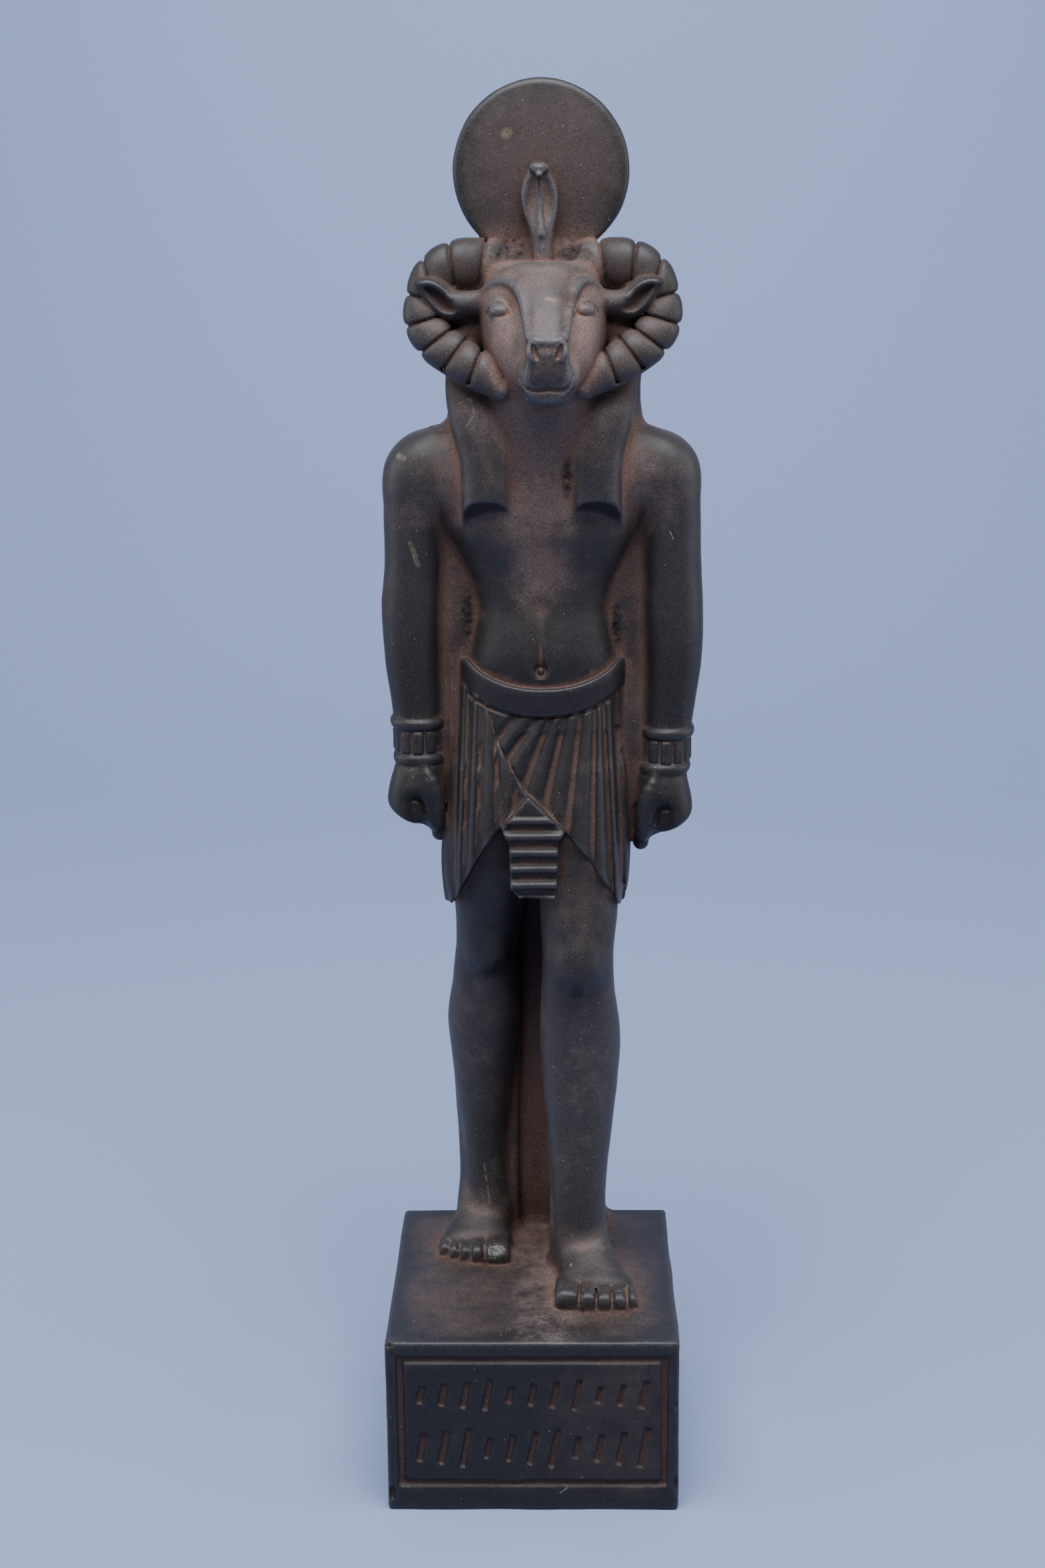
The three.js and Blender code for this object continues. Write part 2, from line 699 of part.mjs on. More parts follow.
// A horn built of rings that step down in size, curled over the ear and forward to the cheek.
function horn(side) {
  const points = HORN.map(([x, ...rest]) => [side * x, ...rest]);
  const first = 0.08;
  const length = (1 - first) / HORN_RINGS;
  const groove = length * 0.09;
  const rings = [[0, 1]];
  for (let i = 0; i < HORN_RINGS; i += 1) {
    const from = first + length * i;
    rings.push([from, 0.84], [from + groove, 1], [from + length - groove, 1.03]);
  }
  rings.push([1, 0.75]);
  return solid(bar(points, rings, 8, 2.5));
}

// The sun disc: a thick round slab, slightly swelling, with a softened rim.
function disc() {
  const { radius, thickness, x, y } = DISC;
  const half = thickness / 2;
  const profile = [
    [0, 1],
    [0.78, 0.9],
    [0.95, 0.62],
    [1, 0],
  ];
  const above = profile.map(([r, h]) => new THREE.Vector2(r * radius, h * half));
  const below = profile.slice(0, -1).map(([r, h]) => new THREE.Vector2(r * radius, -h * half));
  const geometry = new THREE.LatheGeometry([...below, ...above.reverse()], 30);
  return solid(geometry.translate(x, y, TOTAL_HEIGHT - radius));
}

// The rearing cobra in front of the disc: a narrow neck, a spread hood and a small head.
function uraeus() {
  const body = solid(wrap(URAEUS, { sides: 10, rows: 7, roundness: 2.2 }));
  const head = solid(ball(-0.1, 3.8, 422.8, 2.2, 3, 2, 8, 6));
  const hollows = [-1, 1].map((side) =>
    solid(ball(side * 2.6 - 0.2, 2.4, 415.5, 1.5, 1.4, 5, 6, 6)),
  );
  return body.subtract(join(hollows)).add(head);
}

// The pillar at the figure's back, and the stone left standing between it, the arms and the
// legs.
function pillarAndWebs() {
  const { width, x, front, back, top } = PILLAR;
  const ground = PLINTH.height - 1;
  const { halfWidth, foot: webFoot, top: webTop } = WEB;
  return join(
    [
      block(x - width / 2, x + width / 2, front, back, ground, top),
      block(-halfWidth, halfWidth, WEB.front, WEB.back, webFoot, webTop),
      block(2, 17, 6, front + 1, ground, 215),
      block(-30, -10, 33, front + 1, ground, 215),
    ].map(solid),
  );
}

// Everything that sits on the neck stands a little to one side of the figure's middle.
function head() {
  return join([face(), ear(-1), ear(1), horn(-1), horn(1)]).translate([HEAD_X, 0, 0]);
}

const statue = join([
  plinth(),
  pillarAndWebs(),
  leg(RIGHT_LEG),
  leg(LEFT_LEG),
  foot({ x: -22, y: 42 }, { x: -25.3, y: 8.5 }, -1),
  foot({ x: 11, y: 13 }, { x: 16.9, y: -28.5 }, 1),
  kilt(),
  belt(),
  apron(),
  torso(),
  arm(-1, 0, 0),
  arm(1, 3.6, 2.4),
  wig(),
  head(),
  disc(),
  uraeus(),
]).simplify(SLIVER);

function meshOf(shape) {
  const { vertProperties, triVerts, numProp, numVert } = shape.getMesh();
  const positions = new Float32Array(numVert * 3);
  for (let i = 0; i < numVert; i += 1) {
    positions.set(vertProperties.subarray(i * numProp, i * numProp + 3), i * 3);
  }
  const geometry = new THREE.BufferGeometry();
  geometry.setAttribute("position", new THREE.BufferAttribute(positions, 3));
  geometry.setIndex(new THREE.BufferAttribute(triVerts, 1));
  geometry.computeVertexNormals();
  return geometry;
}

const castStone = new THREE.MeshStandardMaterial({
  name: "cast_stone",
  color: new THREE.Color(0.075, 0.066, 0.066),
  roughness: 0.55,
  metalness: 0,
});

const group = new THREE.Group();
const mesh = new THREE.Mesh(meshOf(statue), castStone);
mesh.name = "khnum_statue";
group.add(mesh);

export default group;
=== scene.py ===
import math

import bpy
import numpy as np
import openvdb
from mathutils import Matrix, Vector


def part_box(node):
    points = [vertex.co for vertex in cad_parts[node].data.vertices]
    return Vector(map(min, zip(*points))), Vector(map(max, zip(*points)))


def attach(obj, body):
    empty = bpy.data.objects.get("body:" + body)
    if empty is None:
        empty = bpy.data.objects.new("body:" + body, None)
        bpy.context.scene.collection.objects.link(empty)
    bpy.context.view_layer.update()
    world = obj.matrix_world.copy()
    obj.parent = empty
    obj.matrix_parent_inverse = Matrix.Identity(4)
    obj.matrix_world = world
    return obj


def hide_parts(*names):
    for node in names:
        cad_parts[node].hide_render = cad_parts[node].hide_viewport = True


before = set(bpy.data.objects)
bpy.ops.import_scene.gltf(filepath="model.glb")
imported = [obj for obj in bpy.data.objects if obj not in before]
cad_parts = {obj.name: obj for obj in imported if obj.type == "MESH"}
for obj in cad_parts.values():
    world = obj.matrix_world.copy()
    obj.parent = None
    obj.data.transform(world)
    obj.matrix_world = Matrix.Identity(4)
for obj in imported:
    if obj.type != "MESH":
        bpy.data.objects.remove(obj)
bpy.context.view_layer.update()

# The plinth is a block cast in one with the figure, in stone powder and resin, its edges worn
# round. A border is scored in its front, and inside it two rows of short strokes are cut.
# The whole statue is worked in clay here first: every form is pressed on it or cut from it.
MM = 0.001
LOW, HIGH = (np.array(corner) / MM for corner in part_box("khnum_statue"))
PLINTH = {"width": 94.8, "x": -4.5, "height": 60.0, "worn": 1.2}
BORDER = {"sides": 4.8, "top": 6.2, "foot": 9.8, "half": 1.25}
# The rows of strokes, by the height of their middle and the longest stroke.
STROKE_ROWS = ((41.5, 11.0), (22.5, 14.0))
STROKES = {"count": 11, "wide": 2.3, "deep": 1.0, "lean": 11.0, "in": 3.0, "lengths": 4,
           "shorter": 0.15}
CARVED_EDGE = 0.5
# The clay's grid cells are half a millimetre wide and deep.
CELL = 0.5
COARSE = 1.0
FAR = 14.0


def rows_of(*bands):
    """Grid heights from bands of (from, to, step), so that fine carving gets the closest rows."""
    return np.concatenate([np.arange(a, b, step * COARSE) for a, b, step in bands])


def merged(a, b, fillet):
    """The nearer of two distances, with a fillet of about that width where they meet."""
    if fillet <= 0:
        return np.minimum(a, b)
    near = np.maximum(fillet - np.abs(a - b), 0) / fillet
    return np.minimum(a, b) - near * near * fillet / 4


def both(a, b, soften=0.0):
    """What two forms have in common, with its edge softened."""
    return -merged(-a, -b, soften)


def between_corners(values, base, share):
    """The numbers of a grid between the eight points round each place. The grid repeats."""
    total = 0
    for corner in np.ndindex(2, 2, 2):
        weight = 1
        for s, c in zip(share, corner):
            weight = weight * (s if c else 1 - s)
        index = tuple((b + c) % n for b, c, n in zip(base, corner, values.shape))
        total = total + weight * values[index]
    return total


class Clay:
    """A block of clay: how far each point of a grid is from the surface, less than 0 inside."""

    def __init__(self, *axes):
        self.axes = [np.asarray(axis, np.float32) for axis in axes]
        self.depth = np.full([len(axis) for axis in axes], FAR, np.float32)

    def part(self, low, high):
        spans = [slice(*np.searchsorted(axis, (a, b))) for axis, a, b in zip(self.axes, low, high)]
        cut = [axis[span] for axis, span in zip(self.axes, spans)]
        return tuple(spans), np.meshgrid(*cut, indexing="ij", sparse=True)

    def work(self, form, change, margin):
        low, high, distance = form
        spans, places = self.part(np.subtract(low, margin), np.add(high, margin))
        if self.depth[spans].size:
            self.depth[spans] = change(self.depth[spans], distance(*places))

    def add(self, form, fillet=0.0):
        self.work(form, lambda old, new: merged(old, new, fillet), 4 + fillet)

    def cut(self, form, soften=0.0):
        self.work(form, lambda old, new: both(old, -new, soften), 1 + soften)

    def read(self, values, points):
        """The value of a grid of numbers at each point, worked out between its neighbours."""
        places = [
            np.interp(points[:, i], axis, np.arange(len(axis))) for i, axis in enumerate(self.axes)
        ]
        base = [np.clip(p.astype(int), 0, len(a) - 2) for p, a in zip(places, self.axes)]
        return between_corners(values, base, [p - b for p, b in zip(places, base)])

    def meet(self, x, other, view):
        """Where the skin is first met at a place of the front view (x, z), or of the top view
        (x, y), or nan beside the stone."""
        along = self.axes[1] if view == "front" else self.axes[2][::-1]
        spots = np.empty((len(along), 3))
        spots[:, 0] = x
        spots[:, 1], spots[:, 2] = (along, other) if view == "front" else (other, along)
        column = self.read(self.depth, spots)
        i = int(np.argmax(column < 0))
        if i == 0:
            return math.nan
        share = column[i - 1] / (column[i - 1] - column[i])
        return float(along[i - 1] + share * (along[i] - along[i - 1]))


def block(low, high, worn=0.0):
    """A box between two corners, its edges worn to a radius."""
    centre = (np.array(low) + high) / 2
    half = (np.array(high) - low) / 2 - worn

    def distance(x, y, z):
        out = [np.abs(v - c) - h for v, c, h in zip((x, y, z), centre, half)]
        beyond = np.sqrt(sum(np.maximum(v, 0) ** 2 for v in out))
        return beyond + np.minimum(np.maximum(np.maximum(out[0], out[1]), out[2]), 0) - worn

    return low, high, distance


def smooth_line(points, count):
    """A smooth line of that many points through a few, each with any number of values."""
    rows = np.array(points, float)
    rows = np.vstack([2 * rows[0] - rows[1], rows, 2 * rows[-1] - rows[-2]])
    places = np.linspace(0, len(points) - 1, count)
    first = np.minimum(places.astype(int), len(points) - 2)
    t = (places - first)[:, None]
    a, b, c, d = (rows[first + i] for i in range(4))
    bend = 2 * a - 5 * b + 4 * c - d
    return b + 0.5 * t * (c - a + t * (bend + t * (3 * (b - c) + d - a)))


def beside(a, b, x, y, z):
    """How far from a to b the nearest point to each place lies, and the gap to it, squared."""
    along = b[:3] - a[:3]
    share = (x - a[0]) * along[0] + (y - a[1]) * along[1] + (z - a[2]) * along[2]
    share = np.clip(share / (along @ along), 0, 1)
    return share, sum((v - p - share * q) ** 2 for v, p, q in zip((x, y, z), a, along))


def strand(points, count):
    """A round bar along a smooth line of (x, y, z, radius) points."""
    line = smooth_line(points, count)
    reach = line[:, 3].max()
    low, high = line[:, :3].min(0) - reach, line[:, :3].max(0) + reach

    def distance(x, y, z):
        best = FAR
        for a, b in zip(line, line[1:]):
            share, gap = beside(a, b, x, y, z)
            best = np.minimum(best, np.sqrt(gap) - a[3] - share * (b[3] - a[3]))
        return best

    return low, high, distance


class Wire:
    """An output of a node tree. Sums done with it add their own nodes."""

    def __init__(self, tree, socket=None):
        self.tree = tree
        self.socket = socket

    def node(self, kind, settings=None, inputs=None, output=0):
        node = self.tree.nodes.new(kind)
        for name, value in (settings or {}).items():
            setattr(node, name, value)
        for key, value in (inputs or {}).items():
            if isinstance(value, Wire):
                self.tree.links.new(value.socket, node.inputs[key])
            else:
                node.inputs[key].default_value = value
        return Wire(self.tree, node.outputs[output])

    def maths(self, operation, *values, clamp=False):
        settings = {"operation": operation, "use_clamp": clamp}
        return self.node("ShaderNodeMath", settings, dict(enumerate(values)))

    def __add__(self, other):
        return self.maths("ADD", self, other)

    def __sub__(self, other):
        return self.maths("SUBTRACT", self, other)

    def __rsub__(self, other):
        return self.maths("SUBTRACT", other, self)

    def __mul__(self, other):
        return self.maths("MULTIPLY", self, other)

    def __mod__(self, other):
        return self.maths("FLOORED_MODULO", self, other)

    def clamped(self):
        return self.maths("ADD", self, 0.0, clamp=True)

    __radd__ = __add__
    __rmul__ = __mul__


class Growth:
    """A Geometry Nodes tree with named inputs, whose finished mesh is pressed into the clay."""

    def __init__(self, name, **inputs):
        self.tree = bpy.data.node_groups.new(name, "GeometryNodeTree")
        self.values = {}
        kinds = {int: "NodeSocketInt", float: "NodeSocketFloat", tuple: "NodeSocketVector"}
        for label, value in inputs.items():
            socket = self.tree.interface.new_socket(
                label, in_out="INPUT", socket_type=kinds[type(value)]
            )
            self.values[socket.identifier] = value
        self.tree.interface.new_socket(
            "Geometry", in_out="OUTPUT", socket_type="NodeSocketGeometry"
        )
        group = self.tree.nodes.new("NodeGroupInput")
        self.inputs = {label: Wire(self.tree, group.outputs[label]) for label in inputs}

    def finish(self, instances, material):
        """Ends the tree, and gives the points and triangles that it makes."""
        real = instances.node("GeometryNodeRealizeInstances", None, {0: instances})
        dressed = real.node("GeometryNodeSetMaterial", None, {0: real, 2: material})
        out = self.tree.nodes.new("NodeGroupOutput")
        self.tree.links.new(dressed.socket, out.inputs[0])
        holder = bpy.data.objects.new(self.tree.name, bpy.data.meshes.new(self.tree.name))
        bpy.context.scene.collection.objects.link(holder)
        modifier = holder.modifiers.new("growth", "NODES")
        modifier.node_group = self.tree
        for identifier, value in self.values.items():
            modifier[identifier] = value
        seen = holder.evaluated_get(bpy.context.evaluated_depsgraph_get())
        mesh = bpy.data.meshes.new_from_object(seen)
        mesh.calc_loop_triangles()
        points = np.array([v.co for v in mesh.vertices], np.float32)
        triangles = np.array([t.vertices for t in mesh.loop_triangles], np.uint32)
        bpy.data.objects.remove(holder)
        bpy.data.meshes.remove(mesh)
        return points, triangles


def swollen(points, triangles, swell=0.0):
    """The form of a closed mesh, swollen by so much, which rounds its edges."""
    cell = 0.25 * COARSE
    band = 12
    scale = openvdb.createLinearTransform(voxelSize=cell)
    grid = openvdb.FloatGrid.createLevelSetFromPolygons(
        points, triangles=triangles, transform=scale, halfWidth=band
    )
    low = points.min(0) - band * cell
    high = points.max(0) + band * cell
    first = np.floor(low / cell).astype(int)
    values = np.empty(np.ceil(high / cell).astype(int) - first, np.float32)
    grid.copyToArray(values, ijk=tuple(int(v) for v in first))

    def distance(x, y, z):
        found = values
        for axis, places in enumerate((x, y, z)):
            index = np.clip(places.ravel() / cell - first[axis], 0, found.shape[axis] - 1.001)
            base = index.astype(int)
            share = (index - base).reshape([-1 if i == axis else 1 for i in range(3)])
            near, next_to = np.take(found, base, axis), np.take(found, base + 1, axis)
            found = near * (1 - share) + next_to * share
        return found - swell

    return low, high, distance


cast_stone = bpy.data.materials.new("cast stone")
cast_stone.use_nodes = True
clay = Clay(
    np.arange(LOW[0] - 2, HIGH[0] + 2, CELL * COARSE),
    np.arange(LOW[1] - 2, HIGH[1] + 2, CELL * COARSE),
    rows_of(
        (-2, 79, 0.6), (79, 185, 0.8), (185, 275, 0.5), (275, 345, 0.65), (345, 406, 0.45),
        (406, HIGH[2] + 2, 0.65),
    ),
)
plinth_left = PLINTH["x"] - PLINTH["width"] / 2
plinth_right = PLINTH["x"] + PLINTH["width"] / 2
plinth_face = LOW[1]
clay.add(
    block(
        (plinth_left, plinth_face, 0),
        (plinth_right, HIGH[1], PLINTH["height"]),
        PLINTH["worn"],
    )
)


def stroke_row(height, tallest):
    """One row of leaning strokes, each a rounded gouge, of a few lengths that take turns."""
    left = plinth_left + BORDER["sides"] + STROKES["in"]
    right = plinth_right - BORDER["sides"] - STROKES["in"]
    pitch = (right - left) / STROKES["count"]
    row = Growth(
        "stroke row",
        Count=STROKES["count"],
        First=(left + pitch / 2, plinth_face, height),
        Pitch=(pitch, 0.0, 0.0),
        Wide=STROKES["wide"] / 2,
        Tallest=tallest,
        Lean=(0.0, math.radians(STROKES["lean"]), 0.0),
    )
    given = row.inputs
    start = given["Count"]
    line = start.node(
        "GeometryNodeMeshLine", None, {"Count": start, 2: given["First"], 3: given["Pitch"]}
    )
    gouge = start.node(
        "GeometryNodeMeshCylinder",
        None,
        {"Vertices": 20, "Side Segments": 6, "Radius": given["Wide"], "Depth": 1.0},
    )
    turn = start.node("GeometryNodeInputIndex") * 3 + given["Tallest"]
    tall = given["Tallest"] * (1 - STROKES["shorter"] * (turn % STROKES["lengths"]))
    size = start.node("ShaderNodeCombineXYZ", None, {0: 1.0, 1: STROKES["deep"], 2: tall})
    strokes = start.node(
        "GeometryNodeInstanceOnPoints",
        None,
        {"Points": line, "Instance": gouge, "Rotation": given["Lean"], "Scale": size},
    )
    return swollen(*row.finish(strokes, cast_stone))


for stroke_height, stroke_tall in STROKE_ROWS:
    clay.cut(stroke_row(stroke_height, stroke_tall), CARVED_EDGE)
border_left, border_right = plinth_left + BORDER["sides"], plinth_right - BORDER["sides"]
border_top = PLINTH["height"] - BORDER["top"]
border_corners = [
    (border_left, BORDER["foot"]),
    (border_right, BORDER["foot"]),
    (border_right, border_top),
    (border_left, border_top),
]
for (x0, z0), (x1, z1) in zip(border_corners, border_corners[1:] + border_corners[:1]):
    ends = [(x, plinth_face, z, BORDER["half"]) for x, z in ((x0, z0), (x1, z1))]
    clay.cut(strand(ends, 2), CARVED_EDGE)

# The pillar at the back and the stone left standing between the body, the arms and the legs
# were never cut free. They are smooth, and run into the figure in soft hollows.
PILLAR = {"x": -4.0, "width": 50.0, "front": 37.0, "back": 49.4, "top": 341.0, "worn": 1.5}
GROUND = PLINTH["height"] - 1
HIPS = 215.0
# The stone behind each leg: its left side, right side and front.
BEHIND_LEGS = ((-30, -10, 33), (2, 17, 6))
# The stone between the arms and the body, in flat sections. A row here and in all such lists
# is one section: height, x, y, half width, reach to the front and reach to the back.
WEB = [
    [209.5, 0, 21, 32.2, 11.5, 12],
    [222, 0, 21, 32.6, 11.5, 12],
    [246, 0, 21, 36, 11, 12],
    [266, 0, 21, 40, 7, 12],
    [285, 0, 21, 40, 6, 12],
    [330, 0, 21, 40, 6, 12],
]
WEB_SQUARE = 7


def section(stations, height):
    """The stations' other columns at given heights, on a smooth curve through them."""
    rows = np.array(stations, float)
    last = len(rows) - 1
    after = rows[np.minimum(np.arange(last + 1) + 1, last)]
    before = rows[np.maximum(np.arange(last + 1) - 1, 0)]
    slopes = (after - before) / (after - before)[:, :1]
    i = np.clip(np.searchsorted(rows[:, 0], height) - 1, 0, last - 1)
    span = rows[i + 1, 0] - rows[i, 0]
    t = np.clip((height - rows[i, 0]) / span, 0, 1)
    keep = 2 * t**3 - 3 * t**2 + 1
    leave = (t**3 - 2 * t**2 + t) * span
    reach = (t**3 - t**2) * span
    return [
        (keep * rows[i, c] + leave * slopes[i, c] + (1 - keep) * rows[i + 1, c]
         + reach * slopes[i + 1, c]).astype(np.float32)
        for c in range(1, rows.shape[1])
    ]


def skin(stations, roundness, x, y, z):
    """How far points are from the skin of a lofted form without ends, and where they are on it,
    as shares of its half width and of its reach."""
    middle_x, middle_y, half, front, back = section(stations, z)
    higher = section(stations, z + 0.5)
    dx, dy = x - middle_x, y - middle_y
    ahead = dy < 0
    reach = np.where(ahead, front, back)
    reach_slope = np.where(ahead, higher[3] - front, higher[4] - back) * 2
    u, v = np.abs(dx / half), np.abs(dy / reach)
    size = np.maximum((u**roundness + v**roundness) ** (1 / roundness), 1e-3)
    over = size ** (1 - roundness)
    slope_x = over * u ** (roundness - 1) / half * np.sign(dx)
    slope_y = over * v ** (roundness - 1) / reach * np.sign(dy)
    slope_z = slope_x * ((higher[0] - middle_x) * 2 + dx / half * (higher[2] - half) * 2)
    slope_z = slope_z + slope_y * ((higher[1] - middle_y) * 2 + dy / reach * reach_slope)
    steep = np.sqrt(slope_x**2 + slope_y**2 + slope_z**2)
    return (size - 1) / np.maximum(steep, 0.3 / np.maximum(half, reach)), dx / half, dy / reach


def loft(stations, roundness=2.3, swell=None, ends=0.0):
    """A form through stations, closed flat at both ends. It may swell by a function of the
    place, given as a share of the half width, a share of the reach, and the height."""
    rows = np.array(stations)
    low = ((rows[:, 1] - rows[:, 3]).min(), (rows[:, 2] - rows[:, 4]).min(), rows[0, 0])
    high = ((rows[:, 1] + rows[:, 3]).max(), (rows[:, 2] + rows[:, 5]).max(), rows[-1, 0])

    def distance(x, y, z):
        out, u, v = skin(stations, roundness, x, y, z)
        if swell:
            out = out - swell(u, v, z)
        return both(out, np.maximum(rows[0, 0] - z, z - rows[-1, 0]), ends)

    return low, high, distance


pillar_left = PILLAR["x"] - PILLAR["width"] / 2
pillar_right = PILLAR["x"] + PILLAR["width"] / 2
for left, right, front in BEHIND_LEGS:
    clay.add(block((left, front, GROUND), (right, PILLAR["front"] + 1, HIPS), 1), 5)
pillar_foot = (pillar_left, PILLAR["front"], GROUND)
pillar_top = (pillar_right, PILLAR["back"], PILLAR["top"])
clay.add(block(pillar_foot, pillar_top, PILLAR["worn"]), 4)
clay.add(loft(WEB, WEB_SQUARE, None, 2), 4)

# The legs stride with the left one forward, smooth and long, with low kneecaps and straight
# shins. They are cast on the plinth and on the stone behind them.
RIGHT_LEG = [
    [58, -21, 33, 9.6, 10, 10],
    [76, -21.2, 34, 7.9, 9, 10],
    [92, -21.5, 34, 7.9, 9.2, 10],
    [112, -21.7, 33, 9.6, 11, 12],
    [141, -21.2, 31, 12.5, 13.5, 14],
    [158, -20, 28, 11.6, 12.6, 14],
    [172, -19.2, 25, 11.1, 13, 14],
    [190, -17.6, 21, 12.6, 15.5, 16],
    [215, -15.5, 19, 14, 19, 17],
    [240, -13.5, 18, 13, 16, 16],
]
LEFT_LEG = [
    [58, 11.2, 5, 10, 9, 11],
    [76, 11.2, 4, 8.8, 8.6, 11],
    [92, 11.4, 4.5, 9, 9, 12],
    [112, 11.7, 6, 11, 10.5, 14],
    [142, 11.7, 8, 13.4, 13, 17],
    [160, 11.2, 6.5, 12.1, 12.5, 16],
    [172, 11.2, 5.5, 11.7, 13.2, 15],
    [190, 11.4, 8, 13, 14.6, 16],
    [215, 11.4, 13, 14, 17.2, 17],
    [240, 12, 18, 13, 16.5, 16],
]
LEG_ROUND = 2.15
KNEE = 168.0
# Where the kneecaps lie, right and left: x, y.
KNEES = ((-19.4, 12), (11.2, -8))


def egg(centre, radii, turn=None):
    """A ball stretched to three radii, then turned about its centre."""
    turn = np.identity(3) if turn is None else np.array(turn)
    reach = np.abs(turn) @ np.array(radii)

    def distance(x, y, z):
        gaps = (x - centre[0], y - centre[1], z - centre[2])
        own = [sum(turn[i, j] * gaps[i] for i in range(3)) for j in range(3)]
        inner = np.sqrt(sum((v / r) ** 2 for v, r in zip(own, radii)))
        outer = np.sqrt(sum((v / r**2) ** 2 for v, r in zip(own, radii)))
        return inner * (inner - 1) / np.maximum(outer, 1e-4)

    return np.subtract(centre, reach), np.add(centre, reach), distance


def knee(x, y):
    """A low kneecap, with a dimple at each side below it."""
    clay.add(egg((x, y + 2.6, KNEE + 3), (5.6, 3.6, 7)), 5)
    for side in (-1, 1):
        clay.cut(egg((x + side * 6, y - 0.6, KNEE - 4.5), (2, 1.2, 3)), 3)


for stations in (RIGHT_LEG, LEFT_LEG):
    clay.add(loft(stations, LEG_ROUND), 4)
for place in KNEES:
    knee(*place)

# The feet stand flat and bare, the toes parted by narrow grooves with a nail on each. The right
# big toe is knocked off at its tip. They are cast on the plinth, in a soft hollow all round.
# A foot's edges are the x of its toes' sides from the big toe out, and its tips are their y.
LEFT_FOOT = {
    "whole": True,
    "heel": (11.2, 13.0),
    "toes": (16.8, -28.6),
    "edges": (3.1, 10.9, 16.5, 21.7, 26.7, 30.2),
    "tips": (-28.0, -29.1, -29.2, -28.8, -27.6),
}
RIGHT_FOOT = {
    "whole": False,
    "heel": (-21.8, 42.0),
    "toes": (-25.0, 6.4),
    "edges": (-12.8, -21.4, -26.4, -30.1, -33.7, -37.2),
    "tips": (5.0, 6.0, 7.2, 8.6, 11.2),
}
TOES = {"tall": 7.3, "step": 0.35, "long": 13.0, "square": 4.0, "nose": 3.6}
# Shares of the foot's length from the toes to the heel, with its half width and height there.
FOOT_SHAPE = [
    [0, 12.9, 7.8], [0.16, 12.6, 9.8], [0.4, 10.4, 13.4], [0.65, 8.9, 19.4], [1, 7.4, 22],
]
FOOT_ROUND = 2.9


def trail(points, count, sunk=0.0, view="front"):
    """A bar that follows the skin along a smooth line of (x, z, radius) points in the front
    view, or (x, y, radius) in the top view. Its middle lies so far below the skin. Beside the
    stone it keeps the depth at which it left it."""
    line = smooth_line(points, count)
    met = np.array([clay.meet(x, other, view) for x, other, _ in line])
    on_stone = np.flatnonzero(~np.isnan(met))
    met = np.interp(np.arange(count), on_stone, met[on_stone])
    if view == "front":
        bar = [(x, y + sunk, z, radius) for (x, z, radius), y in zip(line, met)]
    else:
        bar = [(x, y, z - sunk, radius) for (x, y, radius), z in zip(line, met)]
    return strand(bar, count)


def instep(heel, toes):
    """The foot without its toes: a wedge that rises to the ankle."""
    front = toes[1] + 8
    shape = np.array(FOOT_SHAPE)
    low = (min(heel[0], toes[0]) - 13, front, GROUND)
    high = (max(heel[0], toes[0]) + 13, heel[1], GROUND + 22)

    def distance(x, y, z):
        share = np.clip((y - front) / (heel[1] - front), 0, 1)
        middle = toes[0] + (heel[0] - toes[0]) * share
        half = np.interp(share, shape[:, 0], shape[:, 1])
        tall = np.interp(share, shape[:, 0], shape[:, 2])
        u, v = np.abs(x - middle) / half, np.abs(z - GROUND) / tall
        size = np.maximum((u**FOOT_ROUND + v**FOOT_ROUND) ** (1 / FOOT_ROUND), 1e-3)
        out = (size - 1) * np.minimum(half, tall)
        return both(out, np.maximum(front - y, y - heel[1]), 3)

    return low, high, distance


def toe(x, tip, wide, tall, lean):
    """One toe: a square-cut bar, rounded at its tip, that leans to the foot's middle."""
    half, square, nose = wide / 2, TOES["square"], TOES["nose"]

    def distance(x_at, y, z):
        share = np.clip((y - tip) / 12, 0, 1)
        high = tall * (0.92 + 0.24 * np.minimum(share, 0.5))
        u = np.abs(x_at - x - lean * share) / half
        v = np.maximum(tip + nose - y, 0) / nose
        w = np.abs(z - GROUND) / high
        size = (u**square + v**square + w**square) ** (1 / square)
        return both((size - 1) * half, y - tip - TOES["long"])

    high_corner = (x + half + 1.5, tip + TOES["long"], GROUND + tall * 1.2)
    return (x - half - 1.5, tip, GROUND), high_corner, distance


def nail(x, tip, half):
    """A nail, scored round on the top of its toe."""
    turns = np.linspace(-0.1, 1.1, 7) * math.pi
    rim = [(x + half * 0.6 * math.cos(t), tip + 2.2 + 1.9 * math.sin(t), 0.3) for t in turns]
    clay.cut(trail(rim, 16, 0.05, "top"), 0.3)


